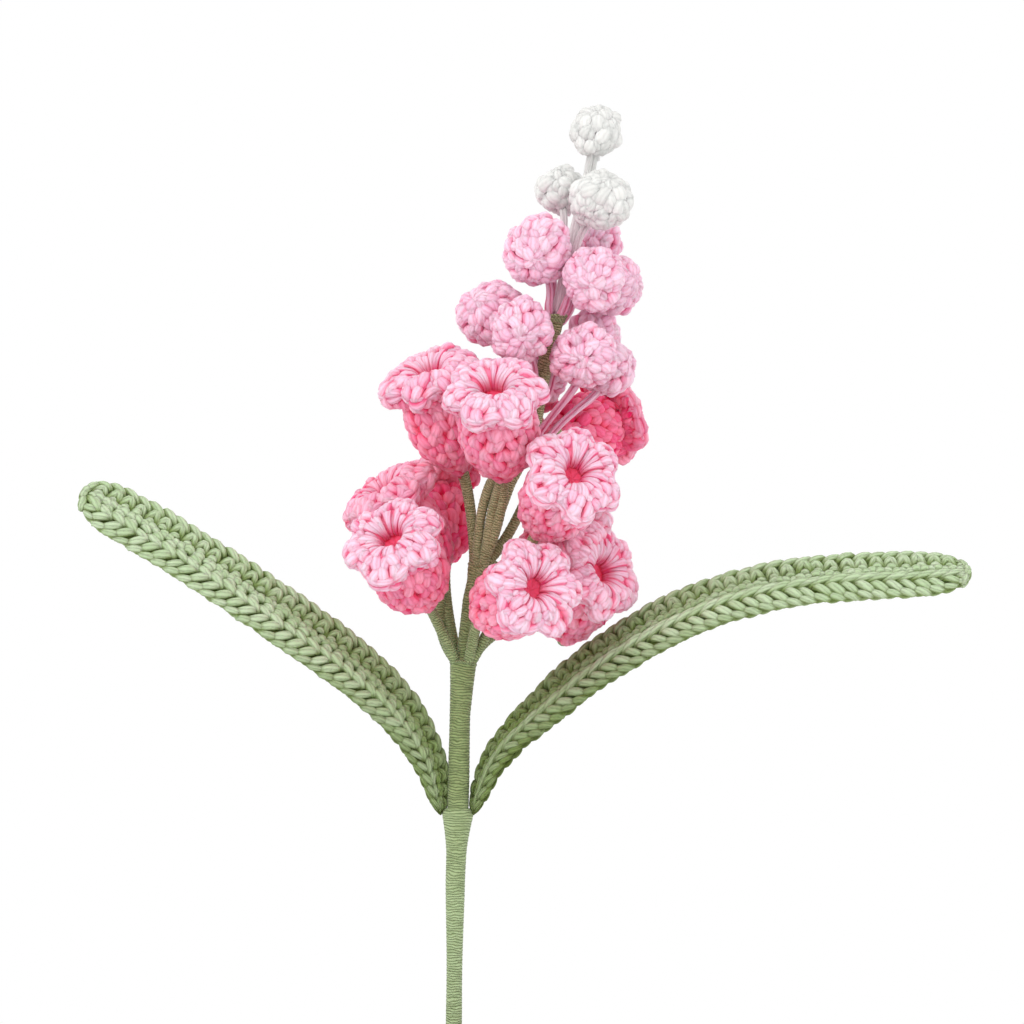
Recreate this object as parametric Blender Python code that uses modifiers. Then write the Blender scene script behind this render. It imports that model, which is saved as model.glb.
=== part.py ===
"""A potted crocheted flower spike, in metres with +Z up.

Crocheted bells and round buds climb a thread-wrapped wire stem. Two long crocheted leaves
are bound to the stem, and its foot stands in the soil of a plain clay pot. The origin is
the centre of the pot's flat base, and the flower's best side faces -Y.
"""
import math

import bmesh
import bpy
from mathutils import Matrix, Quaternion, Vector

# Driving dimensions, in millimetres
MM = 0.001
GAP = 0.3

POT_HEIGHT = 70.0
POT_RIM_RADIUS = 42.0
POT_BASE_RADIUS = 29.0
POT_WALL = 4.5
POT_FLOOR = 6.0
RIM_BAND_HEIGHT = 16.0
RIM_BAND_PROUD = 2.5
SOIL_TOP = 62.0
SOIL_MOUND = 1.6
MOUND_WIDTH = 8.0
STEM_CLEARANCE = 0.9
EDGE_ROUND = 1.0
POT_STEPS = 36

BELL_LENGTH = 34.8
THROAT_DEPTH = 4.3
BELL_STEPS = 24
BELL_LOBES = 6
LOBE_SWELL = 0.075
LOBE_DROP = 1.1
LEAN_FROM = 22.0
LEAN_TO = 28.0
BUD_SIDES = 12
BUD_RINGS = 8
BUD_POLE = 0.93
STITCH_RELIEF = 0.5

LEAF_WIDTH = 17.0
LEAF_THICKNESS = 3.4
LEAF_STATIONS = 34
LEAF_ROWS = 6
LEAF_RELIEF = 0.45
LEAF_EDGE_RELIEF = 0.35
LEAF_ROOT_SHARE = 0.28
LEAF_FULL_FROM = 0.62
LEAF_TAPER = 0.10
LEAF_TIP_FROM = 0.94
LEAF_TIP_SHARE = 0.12

STEM_ROUNDNESS = 3
BRANCH_ROUNDNESS = 2
PEDICEL_RADIUS = 1.5
STALK_RADIUS = 1.3
NECK_LENGTH = 1.0
NECK_SHARE = 0.25
PEDICEL_RISE = 0.32
PEDICEL_SPLAY = 1.5
PEDICEL_SINK = 1.3
STALK_RISE = 0.5
STALK_NECK = 0.3
PATH_POINTS = 7

# The stem's axis from foot to tip, with its radius at each point
STEM = (
    ((-0.4, 0.0, 6.3), 2.1),
    ((-0.6, 0.0, 85.0), 2.1),
    ((-0.2, 0.0, 125.0), 2.4),
    ((0.5, 0.0, 144.0), 2.6),
    ((0.7, 0.0, 152.0), 2.6),
    ((1.1, 0.0, 171.5), 2.9),
    ((2.0, 0.0, 185.8), 3.4),
    ((3.9, 0.0, 203.7), 2.6),
    ((6.2, 0.0, 213.5), 2.9),
    ((14.8, 0.0, 236.8), 2.2),
    ((21.0, 0.0, 248.5), 2.1),
    ((24.9, 0.0, 269.5), 2.3),
    ((28.0, 0.0, 283.2), 2.5),
)

# The yarn tails that carry the highest bud run on from the stem's tip
SPINE = (
    ((28.08, 0.0, 283.54), 2.3),
    ((29.4, 0.5, 289.0), 2.0),
    ((33.3, 4.5, 307.3), 1.7),
    ((36.3, 5.5, 318.0), 1.5),
    ((37.8, 3.5, 325.0), 1.4),
    ((39.0, 0.5, 331.5), 1.4),
)

# Each bell: the middle of its throat, its axis, the turn of its lobes, the height of the
# joint its pedicel leaves the stem at
BELLS = {
    "bell_1": ((-6.9, -11.0, 265.9), (-0.28, -0.45, 0.85), 10.0, 213.5),
    "bell_2": ((10.8, -31.0, 260.8), (-0.08, -0.67, 0.74), 0.0, 213.5),
    "bell_3": ((42.5, 37.5, 252.5), (0.45, 0.89, 0.05), 20.0, 213.5),
    "bell_4": ((32.4, -33.2, 238.5), (0.30, -0.82, 0.49), 5.0, 185.8),
    "bell_5": ((21.7, -35.2, 207.9), (0.46, -0.85, 0.26), 25.0, 185.8),
    "bell_6": ((35.6, -9.3, 215.2), (0.17, -0.66, 0.73), 15.0, 185.8),
    "bell_7": ((-16.8, -30.3, 220.6), (-0.30, -0.75, 0.59), 12.0, 185.8),
    "bell_8": ((-19.4, -3.0, 233.2), (-0.50, -0.25, 0.83), 0.0, 185.8),
    "bell_9": ((-8.2, 35.9, 234.7), (-0.17, 0.75, 0.64), 18.0, 185.8),
    "bell_10": ((33.0, 33.4, 223.0), (0.38, 0.78, 0.50), 3.0, 213.5),
    "bell_11": ((14.4, 34.2, 262.8), (0.02, 0.62, 0.78), 22.0, 213.5),
}

# The way a flare faces where it leans over from its cup
LEANS = {
    "bell_3": (0.74, 0.52, 0.42),
    "bell_6": (0.67, -0.67, 0.32),
    "bell_9": (-0.20, 0.35, 0.91),
}

# How far the middle of a pedicel is bent aside
BENDS = {
    "bell_3": (1.5, 4.0, -3.0),
    "bell_6": (0.0, 5.0, 9.5),
    "bell_8": (-4.5, 1.0, 0.0),
    "bell_9": (-2.5, 0.0, 0.0),
}

# Each bud: its middle, its radius, the side its closing rosette faces, the height at which
# its stalk leaves the stem or the spine
BUDS = {
    "bud_white_1": ((39.5, 0.0, 335.0), 6.9, (0.1, -0.5, 0.9), None),
    "bud_white_2": ((29.1, 9.0, 319.5), 6.2, (-0.2, -0.5, 0.8), 306.0),
    "bud_white_3": ((40.5, -5.0, 315.4), 8.0, (0.1, -0.7, 0.7), 302.0),
    "bud_pink_1": ((22.9, -7.0, 301.2), 9.2, (-0.1, -0.9, -0.4), 285.5),
    "bud_pink_2": ((38.4, -12.0, 292.8), 8.4, (-0.1, -0.95, -0.3), 287.0),
    "bud_pink_3": ((43.8, 6.0, 292.6), 8.3, (0.7, -0.6, 0.2), 286.0),
    "bud_pink_4": ((40.6, 19.0, 304.0), 6.0, (0.2, 0.4, 0.9), 292.0),
    "bud_pink_5": ((18.3, -14.0, 278.3), 8.5, (0.0, -0.95, -0.3), 262.0),
    "bud_pink_6": ((10.0, 2.0, 283.9), 9.0, (-0.5, -0.7, 0.4), 266.0),
    "bud_pink_7": ((35.6, -12.0, 271.5), 8.5, (-0.1, -0.95, -0.1), 244.0),
    "bud_pink_8": ((42.6, 3.0, 269.1), 7.3, (0.8, -0.5, 0.1), 246.0),
    "bud_pink_9": ((39.0, 14.0, 278.9), 7.0, (0.4, 0.6, 0.6), 264.0),
    "bud_pink_10": ((22.8, 12.0, 302.0), 7.5, (-0.3, 0.8, 0.4), 290.0),
    "bud_pink_11": ((16.5, 17.0, 279.9), 7.5, (-0.3, 0.9, 0.2), 264.0),
    "bud_pink_12": ((25.0, 14.6, 267.6), 7.0, (0.1, 0.9, 0.3), 250.0),
}

# Each leaf: its centre line from the stem to the tip, the side its face turns to at the
# root and at the tip
LEAVES = {
    "leaf_left": (
        ((-4.6, 0.0, 146.0), (-8.2, -1.0, 158.7), (-15.5, -2.5, 172.1), (-28.5, -5.0, 184.8),
         (-50.7, -8.0, 201.0), (-73.5, -9.5, 216.1), (-103.5, -10.0, 234.0)),
        (0.35, -0.80, 0.45), (0.24, -0.86, 0.45)),
    "leaf_right": (
        ((5.8, 0.0, 146.0), (13.6, -1.0, 160.8), (26.0, -2.5, 174.6), (43.0, -5.0, 188.3),
         (68.3, -8.0, 201.8), (97.2, -10.0, 209.0), (142.5, -11.0, 211.6)),
        (-0.60, -0.60, 0.55), (-0.05, -0.72, 0.69)),
}

# Colours of the materials, as red, green and blue
ROSE = (0.87, 0.36, 0.52, 1.0)
BLUSH = (0.92, 0.56, 0.70, 1.0)
CREAM = (0.88, 0.86, 0.84, 1.0)
MOSS = (0.33, 0.44, 0.24, 1.0)
SAGE = (0.28, 0.36, 0.19, 1.0)
CLAY = (0.55, 0.24, 0.13, 1.0)
EARTH = (0.07, 0.045, 0.03, 1.0)


def clear_scene():
    """Remove the objects that the scene starts with."""
    for old in list(bpy.data.objects):
        bpy.data.objects.remove(old, do_unlink=True)


def make_collections():
    """The parts have a collection of their own, and so do the helper shapes."""
    parts = bpy.data.collections.new("potted_crocheted_flower")
    helpers = bpy.data.collections.new("helpers")
    bpy.context.scene.collection.children.link(parts)
    bpy.context.scene.collection.children.link(helpers)
    return parts, helpers


def material(name, colour, roughness):
    """A Principled material with the piece's colour and roughness."""
    made = bpy.data.materials.new(name)
    made.use_nodes = True
    shader = made.node_tree.nodes["Principled BSDF"]
    shader.inputs["Base Color"].default_value = colour
    shader.inputs["Roughness"].default_value = roughness
    shader.inputs["Metallic"].default_value = 0.0
    return made


def evaluated_mesh(thing, name):
    """A new mesh of an object as its modifiers or curve settings leave it."""
    graph = bpy.context.evaluated_depsgraph_get()
    made = bpy.data.meshes.new_from_object(thing.evaluated_get(graph), depsgraph=graph)
    made.name = name
    return made


def add_part(name, mesh, parts, finish, place=None):
    """Put a mesh in the parts' collection under its own name, with its material."""
    thing = bpy.data.objects.new(name, mesh)
    mesh.materials.clear()
    mesh.materials.append(finish)
    parts.objects.link(thing)
    if place is not None:
        thing.matrix_world = place
    return thing


def turned(name, profile, steps, collection, ring=False):
    """A profile of (radius, height) points in millimetres, turned round +Z."""
    mesh = bpy.data.meshes.new(name)
    points = [(radius * MM, 0.0, height * MM) for radius, height in profile]
    edges = [(i, i + 1) for i in range(len(points) - 1)]
    if ring:
        edges.append((len(points) - 1, 0))
    mesh.from_pydata(points, edges, [])
    thing = bpy.data.objects.new(name, mesh)
    collection.objects.link(thing)
    screw = thing.modifiers.new("turn", "SCREW")
    screw.axis = "Z"
    screw.steps = steps
    screw.render_steps = steps
    screw.use_merge_vertices = True
    screw.merge_threshold = 0.00001
    screw.use_smooth_shade = True
    return thing


def bell_profile():
    """A bell's wall: up from the bottom of its throat, over the rim, down its outer side.

    Each point has its radius, its height and how much of the lobes and of the stitches
    it takes.
    """
    top = BELL_LENGTH
    return (
        (0.0, top - 12.8, 0.0, 0.0),
        (2.3, top - 11.8, 0.0, 0.0),
        (2.7, top - 4.3, 0.1, 0.0),
        (4.8, top - 1.4, 0.3, 0.0),
        (8.7, top, 0.7, 0.4),
        (12.5, top - 2.2, 1.0, 0.8),
        (12.5, top - 5.8, 1.0, 0.4),
        (9.4, top - 8.4, 0.2, 0.0),
        (9.8, top - 12.2, 0.0, 1.0),
        (10.3, top - 15.4, 0.0, 1.0),
        (10.2, top - 19.0, 0.0, 1.0),
        (9.6, top - 22.6, 0.0, 1.0),
        (8.3, top - 26.2, 0.0, 1.0),
        (6.1, top - 29.8, 0.0, 1.0),
        (3.4, top - 32.6, 0.0, 0.4),
        (2.0, top - BELL_LENGTH, 0.0, 0.0),
        (0.0, top - BELL_LENGTH, 0.0, 0.0),
    )


def shape_bell(mesh, profile, phase):
    """Wave the rim into lobes and raise the stitches on the cup, by formula."""
    rings = range(len(profile))
    for vertex in mesh.vertices:
        flat = math.hypot(vertex.co.x, vertex.co.y)
        ring = min(rings, key=lambda r: abs(profile[r][0] * MM - flat)
                   + abs(profile[r][1] * MM - vertex.co.z))
        _, _, lobe, stitch = profile[ring]
        angle = math.atan2(vertex.co.y, vertex.co.x)
        wave = math.cos(BELL_LOBES * angle + math.radians(phase))
        knob = math.cos(BELL_STEPS / 2 * angle + ring * math.pi)
        grown = 1.0 + LOBE_SWELL * lobe * wave
        shift = STITCH_RELIEF * MM * stitch * knob
        if flat > 0.0:
            scale = grown + shift / flat
            vertex.co.x *= scale
            vertex.co.y *= scale
        vertex.co.z -= LOBE_DROP * MM * lobe * (0.5 + 0.5 * wave)


def aim(direction, turn_degrees=0.0):
    """A rotation that takes +Z to the given direction."""
    axis = Vector(direction).normalized()
    turn = Matrix.Rotation(math.radians(turn_degrees), 4, "Z")
    return axis.to_track_quat("Z", "Y").to_matrix().to_4x4() @ turn


def bell_place(throat, axis):
    """Where a bell's base and its frame are, from the middle of its throat."""
    way = Vector(axis).normalized()
    base = Vector(throat) - way * (BELL_LENGTH - THROAT_DEPTH)
    return Matrix.Translation(base * MM) @ aim(way), base, way


def lean_flare(mesh, place, way, facing):
    """Turn the flare about its neck, so that it faces another way than the cup."""
    to_local = place.to_3x3().inverted()
    turn = (to_local @ way).rotation_difference(to_local @ Vector(facing).normalized())
    pivot = Vector((0.0, 0.0, LEAN_FROM * MM))
    for vertex in mesh.vertices:
        share = (vertex.co.z / MM - LEAN_FROM) / (LEAN_TO - LEAN_FROM)
        share = min(max(share, 0.0), 1.0)
        part = Quaternion().slerp(turn, share)
        vertex.co = pivot + part @ (vertex.co - pivot)


def make_bells(parts, helpers, finish):
    """The open bells, each a hollow cup with a lobed, turned-back rim."""
    profile = bell_profile()
    for name, (throat, axis, phase, _) in BELLS.items():
        thing = turned(name + "_turned", [p[:2] for p in profile], BELL_STEPS, helpers)
        mesh = evaluated_mesh(thing, name)
        bpy.data.objects.remove(thing, do_unlink=True)
        shape_bell(mesh, profile, phase)
        place, _, way = bell_place(throat, axis)
        if name in LEANS:
            lean_flare(mesh, place, way, LEANS[name])
        add_part(name, mesh, parts, finish, place)


def smooth_path(points, count):
    """A smooth curve through the points, sampled at even steps of its parameter."""
    spots = [Vector(p) for p in points]
    spots = [spots[0] * 2 - spots[1]] + spots + [spots[-1] * 2 - spots[-2]]
    spans = len(points) - 1
    path = []
    for i in range(count):
        at = spans * i / (count - 1)
        k = min(int(at), spans - 1)
        t = at - k
        a, b, c, d = spots[k:k + 4]
        path.append(0.5 * (2 * b + (c - a) * t + (2 * a - 5 * b + 4 * c - d) * t * t
                           + (3 * b - a - 3 * c + d) * t * t * t))
    return path


def tube(name, path, radii, resolution, collection):
    """A round bar along a path, with closed ends, as a mesh object."""
    curve = bpy.data.curves.new(name, "CURVE")
    curve.dimensions = "3D"
    curve.bevel_depth = MM
    curve.bevel_resolution = resolution
    curve.use_fill_caps = True
    spline = curve.splines.new("POLY")
    spline.points.add(len(path) - 1)
    for point, spot, radius in zip(spline.points, path, radii):
        point.co = (*(spot * MM), 1.0)
        point.radius = radius
    line = bpy.data.objects.new(name + "_line", curve)
    collection.objects.link(line)
    bpy.context.view_layer.update()
    mesh = evaluated_mesh(line, name)
    place = line.matrix_world.copy()
    bpy.data.objects.remove(line, do_unlink=True)
    weld(mesh)
    thing = bpy.data.objects.new(name, mesh)
    collection.objects.link(thing)
    thing.matrix_world = place
    return thing


def weld(mesh):
    """Join the vertices of loose caps to the wall they close."""
    work = bmesh.new()
    work.from_mesh(mesh)
    bmesh.ops.remove_doubles(work, verts=work.verts, dist=0.000001)
    work.to_mesh(mesh)
    work.free()


def union(name, base, others, parts, finish, solver="EXACT"):
    """Fuse objects into one body and put it with the parts."""
    group = bpy.data.collections.new(name + "_pieces")
    bpy.context.scene.collection.children.link(group)
    for other in others:
        group.objects.link(other)
    join = base.modifiers.new("fuse", "BOOLEAN")
    join.operation = "UNION"
    join.operand_type = "COLLECTION"
    join.collection = group
    join.solver = solver
    bpy.context.view_layer.update()
    mesh = evaluated_mesh(base, name)
    place = base.matrix_world.copy()
    for other in list(others) + [base]:
        bpy.data.objects.remove(other, do_unlink=True)
    bpy.data.collections.remove(group)
    return add_part(name, mesh, parts, finish, place)


def axis_at(line, height):
    """The point, direction and radius of a tapering axis at a height."""
    for (low, low_radius), (high, high_radius) in zip(line, line[1:]):
        if low[2] <= height <= high[2]:
            t = (height - low[2]) / (high[2] - low[2])
            spot = Vector(low).lerp(Vector(high), t)
            way = (Vector(high) - Vector(low)).normalized()
            return spot, way, low_radius + (high_radius - low_radius) * t
    raise ValueError("no such height on the axis")


def bezier(a, b, c, d, count):
    """Points on a cubic curve from a to d."""
    path = []
    for i in range(count):
        t = i / (count - 1)
        s = 1.0 - t
        path.append(a * s ** 3 + b * 3 * s * s * t + c * 3 * s * t * t + d * t ** 3)
    return path


def pedicel_path(name):
    """From inside the stem to its side, then out and up to just under the bell's base."""
    throat, axis, _, height = BELLS[name]
    _, base, way = bell_place(throat, axis)
    spot, up, thick = axis_at(STEM, height)
    end = base - way * GAP
    neck = end - way * NECK_LENGTH
    out = Vector((neck.x - spot.x, neck.y - spot.y, 0.0))
    splay = PEDICEL_SPLAY * out.length / (out.length + neck.z - spot.z)
    out.normalize()
    root = spot + out * (thick - PEDICEL_SINK)
    reach = (neck - root).length
    bend = Vector(BENDS.get(name, (0.0, 0.0, 0.0)))
    rise = root + (up + out * splay).normalized() * reach * PEDICEL_RISE + bend
    path = bezier(root, rise, neck - way * reach * NECK_SHARE + bend, neck, PATH_POINTS)
    return [spot - up * PEDICEL_RADIUS] + path + [end]


def make_stem(parts, helpers, finish):
    """The wrapped wire stem with a pedicel to each bell, fused as the thread binds them."""
    spots = [Vector(p) for p, _ in STEM]
    main = tube("stem_axis", spots, [r for _, r in STEM], STEM_ROUNDNESS, helpers)
    branches = []
    for name in BELLS:
        path = pedicel_path(name)
        radii = [PEDICEL_RADIUS] * len(path)
        branch = tube("pedicel_of_" + name, path, radii, BRANCH_ROUNDNESS, helpers)
        branches.append(branch)
    return union("stem", main, branches, parts, finish)


def stalk_path(name):
    """Beside the stem or the spine, then out to the middle of the bud."""
    centre, _, _, height = BUDS[name]
    line = SPINE if height > SPINE[0][0][2] else STEM
    spot, up, thick = axis_at(line, height)
    out = Vector(centre) - spot
    out -= up * out.dot(up)
    out.normalize()
    root = spot + out * (thick + STALK_RADIUS + GAP)
    reach = (Vector(centre) - root).length
    bend = root + up * reach * STALK_RISE
    neck = Vector(centre) - Vector((0.0, 0.0, reach * STALK_NECK))
    return bezier(root, bend, neck, Vector(centre), PATH_POINTS)


def bud_ball(name, centre, radius, rosette, collection):
    """A round bud from a sphere, with its stitches raised and its pole pressed in."""
    bpy.ops.mesh.primitive_uv_sphere_add(segments=BUD_SIDES, ring_count=BUD_RINGS,
                                         radius=radius * MM)
    thing = bpy.context.object
    thing.name = name + "_ball"
    for owner in list(thing.users_collection):
        owner.objects.unlink(thing)
    collection.objects.link(thing)
    for vertex in thing.data.vertices:
        way = vertex.co.normalized()
        ring = round(math.acos(max(-1.0, min(1.0, way.z))) / math.pi * BUD_RINGS)
        angle = math.atan2(way.y, way.x)
        knob = math.cos(BUD_SIDES / 2 * angle + ring * math.pi)
        if ring in (0, BUD_RINGS):
            vertex.co *= BUD_POLE
        else:
            vertex.co += way * (STITCH_RELIEF * MM * knob * math.sin(math.acos(way.z)))
    thing.matrix_world = Matrix.Translation(Vector(centre) * MM) @ aim(rosette)
    return thing


def make_buds(parts, helpers, pink, white):
    """The round buds, each with the yarn stalk that it hangs on."""
    for name, (centre, radius, rosette, height) in BUDS.items():
        finish = white if "white" in name else pink
        ball = bud_ball(name, centre, radius, rosette, helpers)
        if height is None:
            spots = [Vector(p) for p, _ in SPINE]
            radii = [r for _, r in SPINE]
        else:
            spots = stalk_path(name)
            radii = [STALK_RADIUS] * len(spots)
        stalk = tube(name + "_stalk", spots, radii, BRANCH_ROUNDNESS, helpers)
        union(name, ball, [stalk], parts, finish)


def leaf_width(t):
    """The strip's width: narrow at the root, full from the middle, round at the tip."""
    opened = math.sin(min(t / LEAF_FULL_FROM, 1.0) * math.pi / 2)
    root = LEAF_ROOT_SHARE + (1.0 - LEAF_ROOT_SHARE) * opened
    taper = 1.0 - LEAF_TAPER * max(0.0, (t - LEAF_FULL_FROM) / (1.0 - LEAF_FULL_FROM))
    tip = max(0.0, (t - LEAF_TIP_FROM) / (1.0 - LEAF_TIP_FROM))
    return LEAF_WIDTH * root * taper * math.sqrt(max(LEAF_TIP_SHARE, 1.0 - tip * tip))


def make_leaves(parts, finish):
    """The long crocheted strips, as a stitched sheet with thickness."""
    for name, (line, face_root, face_tip) in LEAVES.items():
        bpy.ops.mesh.primitive_grid_add(x_subdivisions=LEAF_STATIONS,
                                        y_subdivisions=LEAF_ROWS, size=2.0)
        thing = bpy.context.object
        thing.name = name
        thing.data.name = name
        for owner in list(thing.users_collection):
            owner.objects.unlink(thing)
        parts.objects.link(thing)
        path = smooth_path(line, LEAF_STATIONS + 1)
        for vertex in thing.data.vertices:
            station = round((vertex.co.x + 1.0) / 2.0 * LEAF_STATIONS)
            row = round((vertex.co.y + 1.0) / 2.0 * LEAF_ROWS)
            t = station / LEAF_STATIONS
            before = path[max(station - 1, 0)]
            after = path[min(station + 1, LEAF_STATIONS)]
            along = (after - before).normalized()
            face = Vector(face_root).lerp(Vector(face_tip), t)
            across = along.cross(face).normalized()
            face = across.cross(along).normalized()
            side = (row / LEAF_ROWS - 0.5) * leaf_width(t)
            knob = LEAF_RELIEF * math.cos((station + row) * math.pi)
            edge = LEAF_EDGE_RELIEF if row in (0, LEAF_ROWS) else 0.0
            vertex.co = (path[station] + across * side + face * (knob + edge)) * MM
        thing.data.materials.clear()
        thing.data.materials.append(finish)
        shell = thing.modifiers.new("thickness", "SOLIDIFY")
        shell.thickness = LEAF_THICKNESS * MM
        shell.offset = 0.0
        shell.use_even_offset = True


def make_pot(parts, finish):
    """A plain clay pot with a raised band at its rim and a flat base."""
    top = POT_HEIGHT
    band = top - RIM_BAND_HEIGHT
    waist = POT_RIM_RADIUS - RIM_BAND_PROUD
    inner = POT_RIM_RADIUS - POT_WALL
    profile = (
        (0.0, POT_FLOOR),
        (POT_BASE_RADIUS - POT_WALL, POT_FLOOR),
        (inner, top - EDGE_ROUND),
        (inner + EDGE_ROUND, top),
        (POT_RIM_RADIUS - EDGE_ROUND, top),
        (POT_RIM_RADIUS, top - EDGE_ROUND),
        (POT_RIM_RADIUS, band + EDGE_ROUND),
        (POT_RIM_RADIUS - EDGE_ROUND, band),
        (waist, band),
        (POT_BASE_RADIUS, EDGE_ROUND),
        (POT_BASE_RADIUS - EDGE_ROUND, 0.0),
        (0.0, 0.0),
    )
    pot = turned("pot", profile, POT_STEPS, parts)
    pot.data.materials.append(finish)
    return pot


def make_soil(parts, finish):
    """The soil fills the pot up to a little under its rim, round the stem's foot."""
    floor = POT_FLOOR + GAP
    slope = (POT_RIM_RADIUS - POT_BASE_RADIUS) / (POT_HEIGHT - EDGE_ROUND - POT_FLOOR)
    low = POT_BASE_RADIUS - POT_WALL - GAP
    high = low + slope * (SOIL_TOP - EDGE_ROUND - floor)
    hole = STEM[0][1] + STEM_CLEARANCE
    profile = (
        (hole, floor),
        (hole, SOIL_TOP + SOIL_MOUND / 2),
        (hole + MOUND_WIDTH, SOIL_TOP + SOIL_MOUND),
        (hole + 2 * MOUND_WIDTH, SOIL_TOP + SOIL_MOUND / 2),
        (high - EDGE_ROUND, SOIL_TOP),
        (high, SOIL_TOP - EDGE_ROUND),
        (low, floor),
    )
    soil = turned("soil", profile, POT_STEPS, parts, ring=True)
    soil.data.materials.append(finish)
    return soil


def build():
    """Every piece of the object, from the pot up."""
    clear_scene()
    parts, helpers = make_collections()
    bloom = material("bell_yarn", ROSE, 0.9)
    bud = material("bud_yarn", BLUSH, 0.9)
    white = material("white_yarn", CREAM, 0.9)
    leaf = material("leaf_yarn", MOSS, 0.9)
    thread = material("stem_thread", SAGE, 0.85)
    clay = material("clay", CLAY, 0.8)
    earth = material("earth", EARTH, 0.95)
    make_pot(parts, clay)
    make_soil(parts, earth)
    make_stem(parts, helpers, thread)
    make_leaves(parts, leaf)
    make_bells(parts, helpers, bloom)
    make_buds(parts, helpers, bud, white)


build()
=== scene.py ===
"""Looks of the potted crocheted flower, in metres with +Z up.

Every stitch is a strand of yarn: plump V stitches on the cups, flares and buds, long posts
from each throat to the crest, a braid round the rim, loops and braids on the leaves, and
thread wound round the stem. The strands of a piece are gathered into one mesh. Shapes are
worked out in millimetres, and Piece.make turns them into metres.
"""
import math

import bpy
import numpy as np
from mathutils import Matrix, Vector


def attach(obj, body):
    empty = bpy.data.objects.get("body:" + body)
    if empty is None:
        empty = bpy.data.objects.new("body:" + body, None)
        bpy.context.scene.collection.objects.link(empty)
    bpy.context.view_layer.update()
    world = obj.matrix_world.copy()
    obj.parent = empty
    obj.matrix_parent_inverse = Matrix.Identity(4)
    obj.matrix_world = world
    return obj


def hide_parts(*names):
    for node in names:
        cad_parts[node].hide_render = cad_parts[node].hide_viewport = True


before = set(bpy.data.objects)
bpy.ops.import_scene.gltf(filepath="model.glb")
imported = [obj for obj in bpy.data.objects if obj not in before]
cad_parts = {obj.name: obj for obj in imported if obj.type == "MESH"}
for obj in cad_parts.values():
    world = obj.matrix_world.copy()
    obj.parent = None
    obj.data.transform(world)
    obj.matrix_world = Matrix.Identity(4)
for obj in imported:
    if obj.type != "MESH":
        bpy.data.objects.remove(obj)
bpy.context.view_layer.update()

MM = 0.001
TURN = 2 * math.pi

# Yarn and bells: sizes in millimetres, counts of stitches, and the shape of the lobes
YARN_RADIUS = 1.2
CUP_PITCH = 3.5
CUP_STITCH = 4.9
FLARE_STITCHES = 15
RIM_LINKS = 18
POSTS = 24
LOBES = 6
LOBE_SWELL = 0.075
LOBE_DROP = 1.1
FOLD_SHARE = 0.34
FLARE_MIDDLE = (8.4, 31.0)
BELL_LENGTH = 34.8
THROAT_DEPTH = 4.3
LEAN_FROM = 22.0
LEAN_TO = 28.0
BELL_SINK = 0.75

# Buds and the dark body under the stitches, in millimetres
BUD_PITCH = 3.2
BUD_STITCH = 4.6
BUD_SINK = 0.85
CORE_INSET = 0.5

# Leaves, in millimetres, and how much painted shade darkens each one
LEAF_WIDTH = 17.0
LEAF_THICKNESS = 3.4
LEAF_PAINTED_SHADE = {"leaf_left": 0.04, "leaf_right": 0.22}
LEAF_LINK = 4.0
LEAF_SINK = 0.35

# Thread, pedicels and stalks: sizes in millimetres, and how a pedicel sets off
THREAD_PITCH = 0.75
PEDICEL_RADIUS = 1.5
PEDICEL_RISE = 0.32
PEDICEL_SPLAY = 1.5
PEDICEL_SINK = 1.3
PEDICEL_NECK = 1.3
STALK_RADIUS = 1.3
TAIL_STEPS = 36

# The stem's axis from foot to tip, with its radius at each point
STEM = (
    ((-0.4, 0.0, 6.3), 2.1),
    ((-0.6, 0.0, 85.0), 2.1),
    ((-0.2, 0.0, 125.0), 2.4),
    ((0.5, 0.0, 144.0), 2.6),
    ((0.7, 0.0, 152.0), 2.6),
    ((1.1, 0.0, 171.5), 2.9),
    ((2.0, 0.0, 185.8), 3.4),
    ((3.9, 0.0, 203.7), 2.6),
    ((6.2, 0.0, 213.5), 2.9),
    ((14.8, 0.0, 236.8), 2.2),
    ((21.0, 0.0, 248.5), 2.1),
    ((24.9, 0.0, 269.5), 2.3),
    ((28.0, 0.0, 283.2), 2.5),
)

# The yarn tails that carry the highest bud run on from the stem's tip
SPINE = (
    ((28.08, 0.0, 283.54), 2.3),
    ((29.4, 0.5, 289.0), 2.0),
    ((33.3, 4.5, 307.3), 1.7),
    ((36.3, 5.5, 318.0), 1.5),
    ((37.8, 3.5, 325.0), 1.4),
    ((39.0, 0.5, 331.5), 1.4),
)

# Each bell: the middle of its throat, its axis, the turn of its lobes in degrees, and the
# height of the binding where its pedicel leaves the stem
BELLS = {
    "bell_1": ((-6.9, -11.0, 265.9), (-0.28, -0.45, 0.85), 10.0, 213.5),
    "bell_2": ((10.8, -31.0, 260.8), (-0.08, -0.67, 0.74), 0.0, 213.5),
    "bell_3": ((42.5, 37.5, 252.5), (0.45, 0.89, 0.05), 20.0, 213.5),
    "bell_4": ((32.4, -33.2, 238.5), (0.30, -0.82, 0.49), 5.0, 185.8),
    "bell_5": ((21.7, -35.2, 207.9), (0.46, -0.85, 0.26), 25.0, 185.8),
    "bell_6": ((35.6, -9.3, 215.2), (0.17, -0.66, 0.73), 15.0, 185.8),
    "bell_7": ((-16.8, -30.3, 220.6), (-0.30, -0.75, 0.59), 12.0, 185.8),
    "bell_8": ((-19.4, -3.0, 233.2), (-0.50, -0.25, 0.83), 0.0, 185.8),
    "bell_9": ((-8.2, 35.9, 234.7), (-0.17, 0.75, 0.64), 18.0, 185.8),
    "bell_10": ((33.0, 33.4, 223.0), (0.38, 0.78, 0.50), 3.0, 213.5),
    "bell_11": ((14.4, 34.2, 262.8), (0.02, 0.62, 0.78), 22.0, 213.5),
}

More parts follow.
